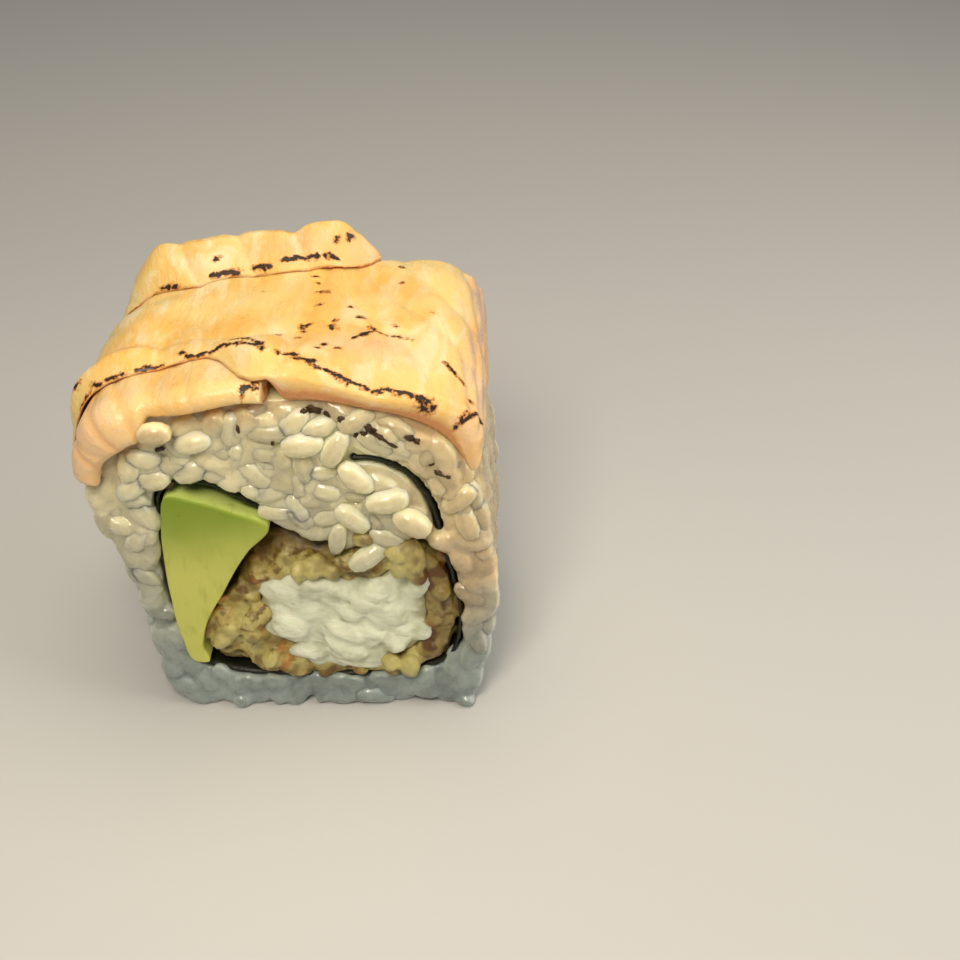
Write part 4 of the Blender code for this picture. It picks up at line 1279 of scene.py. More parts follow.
@dataclass
class Seaweed:
    """The thin dark sheet, spiralling from its outer end to its inner end, ragged at the cuts."""

    form: RollForm
    thick: float = 0.4
    recess: float = 0.9
    ragged: float = 0.5
    rows: int = 26

    def build(self) -> None:
        """Makes the sheet."""
        half = self.thick / 2
        left = self.form.path + half * self.form.sides
        right = self.form.path - half * self.form.sides
        ring = np.vstack([left, right[::-1]])
        count = len(ring)
        middle = np.vstack([self.form.path, self.form.path[::-1]])
        share = np.linspace(-1, 1, self.rows)
        torn = Lumps(1.6, 3, 2)
        rows = []
        for along in share:
            end = np.sign(along) * (BACK - self.recess)
            spots = upright(middle, end)
            reach = BACK - self.recess + self.ragged * torn.at(spots)
            y = along * reach
            wave = 0.12 * Lumps(2.4, 7).at(upright(middle, y))
            side = np.vstack([self.form.sides, self.form.sides[::-1]])
            flat = ring + wave[:, None] * side
            rows.append(upright(flat, y))
        faces = list(grid_faces(self.rows, count, closed=True))
        last = (self.rows - 1) * count
        for start in (0, last):
            for k in range(len(left) - 1):
                faces.append((start + k, start + k + 1, start + count - 2 - k, start + count - 1 - k))
        sheet = new_object("nori_sheet", mesh_from("nori_sheet", settle(np.vstack(rows)), faces))
        finish_piece(sheet, SeaweedFinish(), "nori", "nori")


@dataclass
class Avocado:
    """The avocado wedge, with its skin side up and a little out of the front cut."""

    outline: Line = (
        (-17.6, 37.4), (-14.0, 36.6), (-9.6, 34.9), (-5.2, 32.6), (-8.2, 28.9), (-12.3, 21.6), (-15.5, 15.2),
        (-16.2, 11.4), (-15.7, 8.9), (-16.9, 9.0), (-18.4, 13.6), (-19.0, 20.0), (-19.1, 27.0), (-18.7, 33.0),
    )
    fuller: float = 0.3
    proud: float = 0.7
    edge: float = 0.35
    edge_rings: int = 5

    def build(self) -> None:
        """Makes the wedge."""
        loop = smooth_curve(self.outline, True, 200)
        loop = loop + self.fuller * left_normals(loop, True)
        inward = -left_normals(loop, True)
        front, back = FRONT - self.proud, BACK - 0.2
        turns = np.linspace(0, math.pi / 2, self.edge_rings + 1)
        ease = [(self.edge * (1 - math.sin(turn)), self.edge * (1 - math.cos(turn))) for turn in turns]
        stations = [(front + gap, inset) for gap, inset in reversed(ease)]
        stations += [(y, 0.0) for y in np.linspace(front + 1.2, back - 1.0, 30)]
        stations += [(back - gap, inset) for gap, inset in ease]
        smear = Lumps((3.0, 6.0, 5.0), 31, 2)
        rows, skin = [], []
        for y, inset in stations:
            flat = loop + inset * inward
            spots = upright(flat, y)
            flat = flat + (0.1 * smear.at(spots))[:, None] * inward
            rows.append(upright(flat, y))
            # the skin value marks the upper face behind the front edge, which the finish paints paler as light
            top = blend(flat[:, 1] + 0.43 * flat[:, 0] - 30.6, -1.5, -0.5)
            skin.append(top * blend(y, FRONT - self.proud + 0.05, FRONT - self.proud + 0.5))
        count = len(loop)
        faces = list(grid_faces(len(rows), count, closed=True))
        faces += [range(count), range((len(rows) - 1) * count, len(rows) * count)]
        mesh = mesh_from("avocado_wedge", settle(np.vstack(rows)), faces, {"skin": np.concatenate(skin)})
        mesh.set_sharp_from_angle(angle=math.radians(40))
        finish_piece(new_object("avocado_wedge", mesh), AvocadoFinish(), "avocado", "avocado")


@dataclass
class Batter:
    """The fried batter: a craggy sleeve round the prawn, with crumbs on it wherever it shows."""

    front: Line = (
        (-15.4, 13.0), (-14.0, 16.8), (-10.4, 20.6), (-6.4, 23.6), (-1.6, 25.6), (4.0, 26.6), (9.0, 28.0),
        (13.4, 27.8), (16.2, 25.6), (18.0, 20.4), (18.6, 14.4), (17.0, 9.8), (13.4, 7.4), (6.0, 6.1),
        (-2.0, 6.1), (-8.2, 6.9), (-9.8, 9.6), (-12.8, 11.4),
    )
    inside: Line = (
        (-14.0, 13.4), (-12.6, 17.6), (-9.8, 22.0), (-6.6, 27.4), (-2.6, 29.2), (3.4, 26.8), (8.4, 28.2),
        (13.0, 28.4), (16.2, 26.4), (18.0, 20.8), (18.7, 14.4), (17.2, 9.6), (13.4, 7.3), (6.0, 6.3),
        (-4.0, 6.4), (-11.2, 7.4), (-14.2, 9.4), (-14.9, 11.4),
    )
    recess: float = 0.5
    fuller: float = 0.65
    full_at: float = 4.5
    count: int = 230
    rims: int = 14
    crags: float = 0.8
    crumbs: int = 130
    crumb_size: float = 2.5
    skin_voxel: float = 0.3
    skin_triangles: int = 150_000
    clumps: tuple[tuple[float, float, float], ...] = (  # pale ones at the front: x, z and size
        (12.4, 28.4, 1.8), (13.8, 27.0, 1.7), (12.2, 26.0, 1.6), (14.2, 24.6, 1.3), (-1.4, 25.4, 1.3),
        (0.6, 25.8, 1.6), (2.6, 25.2, 1.2), (7.4, 30.6, 1.2), (-11.6, 15.0, 1.4), (-9.0, 13.8, 1.2),
        (-13.0, 13.2, 1.5), (-6.6, 9.4, 1.3), (12.6, 7.8, 1.5), (10.2, 8.4, 1.2),
    )
    seed: int = 5

    def loops(self, prawn: "Prawn") -> tuple[Array, Array, Array]:
        """The front, inside and hole loops, in step with each other."""
        front, inside = (smooth_curve(line, True, self.count) for line in (self.front, self.inside))
        front = front + self.fuller * left_normals(front, True)
        inside = inside + self.fuller * left_normals(inside, True)
        flesh = smooth_curve(prawn.outline, True, self.count)
        middle = flesh.mean(axis=0)
        start = inside[0] - inside.mean(axis=0)
        turns = np.arctan2(flesh[:, 1] - middle[1], flesh[:, 0] - middle[0]) - math.atan2(start[1], start[0])
        first = int(np.abs(np.angle(np.exp(1j * turns))).argmin())
        flesh = np.roll(flesh, -first, axis=0)
        return front, inside, flesh

    def build(self, prawn: "Prawn") -> None:
        """Makes the sleeve and its crumbs.

        Args:
            prawn: the flesh inside it.
        """
        front, inside, flesh = self.loops(prawn)
        sleeve = self.sleeve(front, inside, flesh)
        crumbs = self.crumbs_on(sleeve, flesh)
        parts = [sleeve, crumbs.unsettled(BatterFinish())]
        crust = melted("batter_crust", parts, self.skin_voxel, 1, self.skin_triangles)
        places, normals = points_of(crust)
        places = places + normals * (0.2 * Lumps(0.8, self.seed + 5, 2).at(places))[:, None]
        # painted shade beyond 0.4 mm back from a cut, plus brown pits and a darker right end
        at_cut = blend(np.abs(places[:, 1]), BACK - 3.4, BACK - 0.4)
        pits = 0.7 * blend(-Lumps(2.2, self.seed + 8, 2).at(places), 0.05, 0.4)
        pits = pits + 0.6 * blend(places[:, 0], 13.0, 16.0)
        set_values(crust, tone=nearest_values(places, crumbs, "tone"), deep=np.maximum(1 - at_cut, pits))
        move_points(crust, settle(places))
        crust.shade_smooth()
        finish_piece(new_object("batter_crust", crust), BatterFinish(), "batter", "batter")

    def sleeve(self, front: Array, inside: Array, flesh: Array) -> Mesh:
        """The bare sleeve with its crags, in millimetres, from its two outer loops and the flesh's."""
        rows = [self.section(front, inside, y) for y in self.stations()]
        lead = [self.rim(flesh, rows[0], k / self.rims) for k in range(self.rims)]
        tail = [self.rim(flesh, rows[-1], 1 - (k + 1) / self.rims) for k in range(self.rims)]
        points = np.vstack([*lead, *rows, *tail])
        faces = grid_faces(len(lead) + len(rows) + len(tail), self.count, closed=True)
        last = len(points) - self.count
        k = np.arange(self.count)
        after = (k + 1) % self.count
        faces = np.vstack([faces, np.column_stack([k, after, last + after, last + k])])
        mesh = mesh_from("batter_sleeve", points, faces)
        places, normals = points_of(mesh)
        bore = depth_inside(places[:, [0, 2]], flesh) > -0.9
        lift = np.where(bore, -0.1, self.crags * Lumps(2.6, self.seed, 3).at(places) - 0.15)
        move_points(mesh, places + normals * lift[:, None])
        return mesh

    def stations(self) -> Array:
        """The places along Y of the sleeve's sections, closer together near the cuts."""
        near = FRONT + self.recess + 0.45 * np.arange(10)
        middle = np.linspace(near[-1] + 0.9, -near[-1] - 0.9, 24)
        return np.concatenate([near, middle, -near[::-1]])

    def section(self, front: Array, inside: Array, y: float) -> Array:
        """One section of the sleeve, from its open form at the front cut to its full form inside."""
        share = blend(y, FRONT + self.recess, FRONT + self.full_at)
        share = share * (1 - 0.7 * blend(y, BACK - self.full_at, BACK - self.recess))
        loop = front + float(share) * (inside - front)
        return upright(loop, y)

    @staticmethod
    def rim(flesh: Array, outer: Array, share: float) -> Array:
        """One ring on a cut face, that share of the way from the flesh to the outer edge."""
        flat = flesh + share * (outer[:, [0, 2]] - flesh)
        crown = 0.35 * math.sin(math.pi * share)
        y = outer[:, 1] + np.sign(outer[:, 1]) * crown
        return upright(flat, y)

    def crumbs_on(self, sleeve: Mesh, flesh: Array) -> Scatter:
        """Crumbs stuck to the sleeve near both cuts, and the larger clumps.

        Args:
            sleeve: the bare sleeve, in millimetres.
            flesh: the prawn's outline, which stays clear.

        Returns:
            The crumbs.
        """
        draw = np.random.default_rng(self.seed)
        length = self.crumb_size
        crumbs = Scatter("batter_crumbs", Bead.CRUMB, length, 0.8 * length, 1.3, 1.9, self.seed)
        places, _ = points_of(sleeve)
        corners = places[np.array([p.vertices[:3] for p in sleeve.polygons])]
        middles = corners.mean(axis=1)
        near = (np.abs(middles[:, 1]) > BACK - 3.6) & (depth_inside(middles[:, [0, 2]], flesh) < -0.2)
        corners, middles = corners[near], middles[near]
        normals = np.cross(corners[:, 1] - corners[:, 0], corners[:, 2] - corners[:, 0])
        areas = np.linalg.norm(normals, axis=1)
        normals = normals / np.maximum(areas, 1e-9)[:, None]
        for k in draw.choice(len(middles), self.crumbs, p=areas / areas.sum()):
            size = draw.uniform(0.35, 0.8) / draw.uniform(0.4, 1.0)
            along = np.cross(normals[k], draw.normal(size=3))
            place = middles[k] + normals[k] * draw.uniform(-0.2, 0.3) * size
            shape = (size * draw.uniform(0.8, 1.5), size, size * draw.uniform(0.5, 0.9))
            crumbs.put(place, along, normals[k], shape, tone=float(draw.uniform(0, 0.8)))
        for x, z, size in self.clumps:
            crumbs.put(np.array([x, FRONT - 0.2, z]), draw.normal(size=3), (0, -1, 0), (size,) * 3, tone=1.0)
        return crumbs


@dataclass
class Prawn:
    """The prawn's flesh, domed and torn at each cut."""

    outline: Line = (
        (-7.4, 17.4), (-6.8, 20.8), (-3.6, 23.2), (0.6, 23.6), (4.6, 22.0), (8.0, 22.4), (11.6, 24.8),
        (14.2, 22.6), (15.2, 17.0), (14.8, 12.4), (11.4, 9.2), (5.0, 8.4), (-1.0, 9.0), (-4.4, 12.6),
    )
    dome: float = 1.1
    recess: float = 0.5
    rings: int = 12
    count: int = 120
    chunks: int = 34
    skin_voxel: float = 0.28
    skin_triangles: int = 90_000
    seed: int = 41

    def build(self) -> None:
        """Makes the flesh."""
        loop = smooth_curve(self.outline, True, self.count)
        chunks = self.torn_chunks(loop)
        flesh = melted("prawn_flesh", [self.body(loop), chunks.unsettled(PrawnFinish())],
                       self.skin_voxel, 2, self.skin_triangles)
        places, normals = points_of(flesh)
        x, y, z = places.T
        tipped = np.column_stack([x - 0.35 * z, y, z + 0.35 * x])
        fibres = Lumps((3.2, 1.2, 0.9), self.seed, 3).at(tipped)
        places = places + normals * (0.26 * fibres)[:, None]
        proud = np.abs(places[:, 1]) - BACK + self.recess
        # painted shade in the fibre valleys and where the flesh lies back from the cut
        valleys = 0.75 * blend(-fibres, -0.1, 0.8)
        set_values(flesh, fold=np.maximum(1 - blend(proud, -0.4, 0.7), valleys))
        move_points(flesh, settle(places))
        flesh.shade_smooth()
        finish_piece(new_object("prawn_flesh", flesh), PrawnFinish(), "prawn", "prawn")

    def body(self, loop: Array) -> Mesh:
        """The flesh right through, in millimetres, with a low dome at each cut."""
        centre = loop.mean(axis=0)
        rows = []
        for side in (FRONT, BACK):
            outward = math.copysign(1, side)
            cap = []
            for share in np.linspace(0.02, 1.0, self.rings):
                y = side - outward * (self.recess + 0.2 - self.dome * (1 - share**2.4))
                flat = centre + share * (loop - centre)
                cap.append(upright(flat, y))
            rows += cap if side == FRONT else cap[::-1]
        faces = list(grid_faces(len(rows), self.count, closed=True))
        faces += [range(self.count), range((len(rows) - 1) * self.count, len(rows) * self.count)]
        return mesh_from("prawn_body", np.vstack(rows), faces)

    def torn_chunks(self, loop: Array) -> Scatter:
        """Torn pieces of flesh on both cuts, running down to the right, upright at the right end."""
        draw = np.random.default_rng(self.seed)
        chunks = Scatter("prawn_chunks", Bead.CRUMB, 7.4, 3.9, 1.9, 2.6, self.seed)
        centre = loop.mean(axis=0)
        for side in (FRONT, BACK):
            outward = math.copysign(1, side)
            for _ in range(self.chunks):
                share = math.sqrt(draw.uniform(0, 1))
                x, z = centre + share * (loop[draw.integers(len(loop))] - centre)
                turn = -0.3 + draw.normal() * 0.35 + (1.5 if x > 10.5 else 0.0)
                dome = self.dome * (1 - share**2.4)
                y = side - outward * (self.recess + 0.5 - dome + draw.uniform(-0.6, 0.4))
                along = (math.cos(turn), draw.uniform(-0.15, 0.15), math.sin(turn))
                size = (draw.uniform(0.5, 1.1), draw.uniform(0.6, 1.1), draw.uniform(0.35, 0.7))
                chunks.put(np.array([x, y, z]), along, (draw.uniform(-0.4, 0.4), outward, 0.2), size)
        return chunks


class Slice:
    """A slice of salmon on the drape, told by where its edges lie, its underside and its thickness."""

    name = "salmon"
    node = "salmon"
    thick = 3.4
    size = (200, 130)  # points across and along
    middle_s = 0.0
    left_edge = right_edge = (0.0, 0.0, 1.0, 0.0)  # place, and the depth, length and start of its waves
    rice_gap, layer_gap = 0.42, 0.05
    overhang = 0.7
    edge_round = 1.5
    groove_pitch, groove_depth = 6.2, 0.3
    uneven = 0.06
    rim_rows, rim_bulge = 7, 0.25

    def left(self, y: Array) -> Array:
        """Where its left edge lies."""
        return self.wandering(y, *self.left_edge)

    def right(self, y: Array) -> Array:
        """Where its right edge lies."""
        return self.wandering(y, *self.right_edge)

    @staticmethod
    def wandering(y: Array, at: float, depth: float, length: float, start: float = 0.0) -> Array:
        """An edge that wanders along the roll."""
        return at + depth * np.sin(y / length + start)

    def front(self, s: Array) -> Array:
        """Where its front edge lies."""
        raise NotImplementedError

    def back(self, s: Array) -> Array:
        """Where its back edge lies."""
        return BACK + self.overhang + 0.5 * np.sin(s / 3.7 + self.thick)

    def under(self, s: Array, y: Array) -> Array:
        """Height of its underside above the rice."""
        return np.full(np.shape(s), self.rice_gap)

    def swell(self, s: Array, y: Array) -> Array:
        """Its thickness there as a share of the usual."""
        return np.ones(np.shape(s))

    def tallest(self, s: Array, y: Array) -> Array:
        """The most that its thickness there can be, which the next slice up stays clear of."""
        return self.thick * self.swell(s, y) * (1 + self.uneven)

    def inset(self, s: Array, y: Array) -> Array:
        """Distance in from the nearest edge."""
        gaps = [s - self.left(y), self.right(y) - s, y - self.front(s), self.back(s) - y]
        return np.maximum(np.minimum.reduce(gaps), 0)

    def thickness(self, s: Array, y: Array) -> Array:
        """Thickness there, less towards the edge and in the grooves between flakes of muscle."""
        rounded = np.sqrt(1 - (1 - np.minimum(self.inset(s, y) / self.edge_round, 1.0)) ** 2)
        groove = np.abs(np.sin(np.pi * (s * 0.85 + y * 0.5 + 1.6 * np.sin(y / 6.0)) / self.groove_pitch))
        full = self.thick * self.swell(s, y) * (1 + self.uneven * waves(s / 3.1, y / 2.7, s / 5 + y / 4))
        full = full - self.groove_depth * (1 - groove) ** 2
        share = self.edge_share(s, y)
        return full * (share + (1 - share) * rounded)

    def edge_share(self, s: Array, y: Array) -> Array:
        """Its thickness at the very edge, as a share of what it is inside."""
        return np.full(np.shape(s), 0.5)

    def detail(self, s: Array, y: Array) -> Array:
        """Small relief on its upper face, in millimetres."""
        spots = np.column_stack([s.ravel(), y.ravel(), np.zeros(s.size)])
        soft = Lumps((4.0, 6.0, 4.0), 61, 2).at(spots).reshape(s.shape)
        fine = Lumps((0.9, 2.2, 1.0), 67, 2).at(spots).reshape(s.shape)
        return 0.16 * soft + 0.045 * fine

    def colours(self, s: Array, y: Array) -> dict[str, Array]:
        """Shares of warm, pink and grey in its colour."""
        return {key: np.zeros(s.shape) for key in ("warm", "pink", "grey")}

    def spots(self) -> tuple[Array, Array]:
        """s and y of every point of its upper face, closer together towards its edges."""
        across, along = (self.crowded(n) for n in self.size)
        v, u = np.meshgrid(along, across, indexing="ij")
        edge = self.front(np.full(v.shape, self.middle_s))
        rough = edge + (self.back(np.full(v.shape, self.middle_s)) - edge) * v
        s = self.left(rough) + (self.right(rough) - self.left(rough)) * u
        return s, self.front(s) + (self.back(s) - self.front(s)) * v

    @staticmethod
    def crowded(count: int) -> Array:
        """Shares from 0 to 1, closer together at both ends."""
        t = np.linspace(0, 1, count)
        return t - 0.8 * np.sin(2 * np.pi * t) / (2 * np.pi)

    def build(self, drape: Drape, sear: "Sear") -> None:
        """Makes the slice.

        Args:
            drape: the rice that it lies on.
            sear: where it is charred.
        """
        s, y = self.spots()
        char = sear.at(s, y)
        top, base = self.layers(drape, s, y, char)
        rim = self.rim_of(*s.shape)
        sides = self.side_rows(top, base, rim, self.rim_of(*s.shape, inset=2))
        points = np.vstack([top, *sides, base])
        faces = self.faces_round(*s.shape, rim)
        mesh = mesh_from(self.name, settle(points), faces, self.paint(s, y, char, rim))
        finish_piece(new_object(self.name, mesh), SalmonFinish(), "salmon", self.node)

    def layers(self, drape: Drape, s: Array, y: Array, char: Array) -> tuple[Array, Array]:
        """The points of its upper face, blistered where it is charred, and of its underside."""
        under, full = self.under(s, y), self.thickness(s, y)
        middle = under + self.thick / 2
        quiet = blend(self.inset(s, y), 0.0, 1.5)
        height = under + np.maximum(full + quiet * self.detail(s, y), 0.25) + 0.06 * char
        top = drape.place(s.ravel(), height.ravel(), y.ravel(), middle.ravel())
        return top, drape.place(s.ravel(), under.ravel(), y.ravel(), middle.ravel())

    def side_rows(self, top: Array, base: Array, rim: Array, inner: Array) -> list[Array]:
        """Rows of points between its upper and lower edges, bulging away from the inner points."""
        away = top[rim] - top[inner]
        away /= np.maximum(np.linalg.norm(away, axis=1), 1e-9)[:, None]
        rows = []
        for k in range(1, self.rim_rows):
            share = k / self.rim_rows
            ripple = Lumps(1.1, 71, 2).at(top[rim] + share)
            bulge = self.rim_bulge * math.sin(math.pi * share) * (1 + 1.4 * ripple)
            rows.append(top[rim] + share * (base[rim] - top[rim]) + bulge[:, None] * away)
        return rows

    def faces_round(self, rows: int, columns: int, rim: Array) -> Array:
        """The faces of its upper side, its underside and the rim between them."""
        count = rows * columns
        base = count + (self.rim_rows - 1) * len(rim)
        faces = [grid_faces(rows, columns), grid_faces(rows, columns, base)[:, ::-1]]
        between = [count + k * len(rim) + np.arange(len(rim)) for k in range(self.rim_rows - 1)]
        bands = [rim, *between, base + rim]
        for upper, lower in zip(bands, bands[1:]):
            faces.append(np.column_stack([upper, lower, np.roll(lower, -1), np.roll(upper, -1)]))
        return np.vstack(faces)

    def paint(self, s: Array, y: Array, char: Array, rim: Array) -> dict[str, Array]:
        """The values that its finish reads, for the upper face, the rows of the rim and the underside."""
        levels = np.arange(1, self.rim_rows) / self.rim_rows
        zero = np.zeros(s.size + len(levels) * len(rim))
        made = {key: np.concatenate([values.ravel(), zero]) for key, values in self.colours(s, y).items()}
        # cut: painted shade with some browning, growing down the rim to the underside
        shade = np.clip(2.2 * np.repeat(levels, len(rim)), 0, 1)
        made["cut"] = np.concatenate([np.zeros(s.size), shade, np.ones(s.size)])
        fade = np.concatenate([char.ravel()[rim] * (1 - level) ** 3 for level in levels])
        made["sear"] = np.concatenate([char.ravel(), fade, np.zeros(s.size)])
        made["scorch"] = np.clip(made["sear"] * 3, 0, 1)
        return made

    @staticmethod
    def rim_of(rows: int, columns: int, inset: int = 0) -> Array:
        """Point numbers round the edge of a grid, or that many points in from it."""
        j = np.clip(np.arange(rows), inset, rows - 1 - inset)
        i = np.clip(np.arange(columns), inset, columns - 1 - inset)
        left = j[:-1] * columns + inset
        back = (rows - 1 - inset) * columns + i[:-1]
        right = j[:0:-1] * columns + columns - 1 - inset
        front = inset * columns + i[:0:-1]
        return np.concatenate([left, back, right, front])


class FrontFlap(Slice):
    """The lowest slice, over the front left corner, hanging lowest at the corner itself."""

    name = "salmon_flap"
    node = "salmon_front"
    thick = 2.5
    size = (150, 90)
    middle_s = -16.0
    reach_right, reach_back = -2.6, -6.5
    left_edge, right_edge = (-31.8, 0.4, 1.7), (reach_right, 0.2, 1.3)
    hang, corner_hang = 2.1, 3.3
    folds = ((-24.6, 0.26, 0.22), (-22.4, 0.24, 0.3), (-20.6, 0.26, 0.24))  # s, width, depth

    def front(self, s: Array) -> Array:
        """Where its front edge lies."""
        corner = self.corner_hang * (1 - blend(s, -19.8, -16.6)) * (0.3 + 0.7 * blend(s, -29.0, -22.0))
        return FRONT - (self.hang + corner + 0.4 * np.sin(s / 2.6))

    def back(self, s: Array) -> Array:
        """Where its back edge lies."""
        return self.reach_back + 0.8 * np.sin(s / 5.0)

    def swell(self, s: Array, y: Array) -> Array:
        """Its thickness there as a share of the usual."""
        exposed = 1.22 + 0.15 * bump(s, -22.0, 4.0) - 0.3 * blend(-s, 24.0, 31.0) - 0.12 * bump(s, -15.5, 2.0)
        return exposed - 0.55 * blend(y, -10.5, -6.5)

    def edge_share(self, s: Array, y: Array) -> Array:
        """Thin where it clings to the rice, and a sheer step at its right end."""
        return 0.2 + 0.12 * blend(s, -24.0, -18.0) + 0.4 * blend(s, -7.0, -4.5)

    def reach(self, s: Array, y: Array) -> Array:
        """1 where this slice lies under the next one, 0 clear of it."""
        across = 1 - blend(s, self.reach_right + 0.5, self.reach_right + 2.8)
        return across * (1 - blend(y, self.reach_back + 1.2, self.reach_back + 5.4))

    def detail(self, s: Array, y: Array) -> Array:
        """Folds between the fingers at its left, and a swelling at its right."""
        relief = super().detail(s, y) + 0.25 * bump(s, -9.5, 4.5) * bump(y, -15.0, 3.0)
        for at, width, depth in self.folds:
            relief = relief - depth * bump(self.fanned(s, y), at, width) * (1 - blend(y, -13.5, -11.0))
        return relief

    def colours(self, s: Array, y: Array) -> dict[str, Array]:
        """Shares of warm, pink and grey in its colour."""
        made = super().colours(s, y)
        made["pink"] = 0.15 + 0.5 * (1 - blend(s, -25.0, -15.0)) * blend(-y, 12.0, 17.0)
        folds = sum(bump(self.fanned(s, y), at, width) for at, width, _ in self.folds)
        made["warm"] = np.clip(0.9 * folds * (1 - blend(y, -13.5, -11.0)), 0, 1)
        return made

    @staticmethod
    def fanned(s: Array, y: Array) -> Array:
        """The place across the folds, which fan out as they run down over the front edge."""
        return -22.2 + (s + 22.2) / (1 + 0.2 * np.maximum(-13.0 - y, 0.0))


class MainSlice(Slice):
    """The large slice over the crown and both shoulders. Its front edge lies back on the left."""

    name = "salmon_sheet"
    node = "salmon_main"
    size = (236, 160)
    left_edge, right_edge = (-31.6, 0.6, 2.9), (26.5, 1.0, 5.2, 0.5)
    setback, corner = 5.6, 2.6

    def __init__(self, flap: FrontFlap) -> None:
        """Takes the slice that it lies on at the front left."""
        self.flap = flap

    def front(self, s: Array) -> Array:
        """Where its front edge lies."""
        setback = self.setback * (1 - blend(s, -10.0, -3.4)) - self.corner * (1 - blend(s, -28.0, -16.0))
        return FRONT - 0.6 + setback + 0.3 * np.sin(s / 2.3)

    def under(self, s: Array, y: Array) -> Array:
        """Height of its underside above the rice."""
        return self.rice_gap + self.flap.reach(s, y) * (self.flap.tallest(s, y) + self.layer_gap)

    def swell(self, s: Array, y: Array) -> Array:
        """Its thickness there as a share of the usual."""
        crest = 0.38 * bump(s, 0.5, 3.4) * (1 - blend(y, -13.0, -5.0))
        left_shoulder = 0.5 * bump(s, -20.5, 5.0) * (1 - blend(y, 3.0, 8.0)) - 0.35 * blend(-s, 24.0, 30.0)
        right_shoulder = 0.22 * bump(s, 19.5, 4.4)
        right_shoulder = right_shoulder - 0.45 * blend(s, 20.5, 26.0)
        front = 0.16 * bump(s, 10.0, 6.0) * (1 - blend(y, -14.0, -8.0))
        return (1 + crest + left_shoulder + right_shoulder - front) * (1 - 0.42 * self.flap.reach(s, y))

    def edge_share(self, s: Array, y: Array) -> Array:
        """A thick knife-cut face at the front, thin down both flanks."""
        return 0.22 + 0.38 * blend(s, -24.0, -18.0) * (1 - blend(s, 18.0, 24.0))

    def thickness(self, s: Array, y: Array) -> Array:
        """Thickness there, drawn out to a lip where it lies on the lower slice."""
        lip = 0.2 + 0.14 * blend(s, -18.0, -10.0)
        lip = lip + (1 - lip) * blend(y - self.front(s), 0.0, 3.6)
        over = self.flap.reach(s, y)
        return super().thickness(s, y) * (1 - over + over * lip)

    def detail(self, s: Array, y: Array) -> Array:
        """A crease along the crown, a swelling at the front right, and ribs down the right flank."""
        relief = super().detail(s, y)
        relief = relief - 0.3 * bump(s, 1.2 + 0.05 * y, 0.8) * blend(y, -12.0, -8.0)
        relief = relief + 0.35 * bump(s, 9.0, 4.5) * bump(y, -9.5, 3.4)
        relief = relief - 0.35 * bump(y + 0.1 * (s - 10.0), -3.9, 0.6) * bump(s, 10.0, 3.6)
        ribs = np.sin(2 * np.pi * (s + 0.16 * y) / 1.7)
        return relief + 0.16 * ribs * blend(s, 17.5, 20.5) * (1 - blend(s, 24.6, 26.0))

    def colours(self, s: Array, y: Array) -> dict[str, Array]:
        """Shares of warm, pink and grey in its colour."""
        made = super().colours(s, y)
        crease = bump(s, 1.8, 2.6) * (1 - blend(-y, 8.0, 12.0))
        patch = bump(s, 7.0, 4.0) * bump(y, -4.6, 2.2)
        edge = 1 - blend(self.inset(s, y), 0.0, 3.5)
        made["warm"] = np.clip(0.85 * crease + 0.7 * patch + 0.35 * edge, 0, 1)
        swelling = 0.55 * bump(s, 9.0, 5.0) * bump(y, -9.0, 3.6)
        made["pink"] = np.clip(swelling + 0.5 * blend(s, 17.0, 22.0), 0, 1)
        made["grey"] = blend(s, 18.5, 21.5) * (1 - blend(s, 24.5, 26.2)) * blend(y, -12.0, -7.0)
        return made


class BackRidge(Slice):
    """The upper slice along the back, thickest at its right end."""

    name = "salmon_ridge"
    node = "salmon_back"
    thick = 3.4
    size = (150, 70)
    middle_s = -6.0
    left_edge = (-24.0, 0.5, 2.2)
    reach_right, reach_front = 8.0, 8.0
    rise = 3.8
    drawn_back = 1.8  # of its thin front edge, from the solid's blunt one

    def __init__(self, main_slice: MainSlice) -> None:
        """Takes the slice that it lies on."""
        self.main = main_slice

    def right(self, y: Array) -> Array:
        """Where its right edge lies."""
        return self.reach_right - 6.5 * (1 - blend(y, self.reach_front - 3.0, BACK))

    def front(self, s: Array) -> Array:
        """Where its front edge lies."""
        return self.reach_front + self.drawn_back + np.sin(s / 7.0 + 0.4) + 0.4 * np.sin(s / 1.9)

    def under(self, s: Array, y: Array) -> Array:
        """Height of its underside above the rice."""
        below = np.maximum(self.main.thickness(s, y) + 0.1, 0.8 * self.main.tallest(s, y))
        return self.rice_gap + below + self.layer_gap

    def swell(self, s: Array, y: Array) -> Array:
        """Its thickness there as a share of the usual."""
        peak = self.rise / self.thick * blend(s, -4.0, 5.0) * blend(y, 7.0, 15.0)
        return 1 + 0.35 * blend(-s, 12, 20) + peak

    def thickness(self, s: Array, y: Array) -> Array:
        """Thickness there, drawn out thin towards its front and its ends."""
        wedge = np.clip(0.16 + 0.15 * (y - self.front(s)), 0.0, 1.0)
        left_end = 0.3 + 0.7 * blend(s - self.left(y), 0.0, 5.0)
        right_end = 0.16 + 0.84 * blend(self.right(y) - s, -0.5, 5.5)
        return super().thickness(s, y) * wedge * left_end * right_end

    def colours(self, s: Array, y: Array) -> dict[str, Array]:
        """Shares of warm, pink and grey in its colour."""
        made = super().colours(s, y)
        made["warm"] = 0.4 * (1 - blend(self.inset(s, y), 0.0, 2.5))
        made["pink"] = 0.35 * bump(s, -2.0, 7.0) * bump(y, 12.5, 1.6) + 0.4 * blend(s, 3.0, 6.0)
        return made


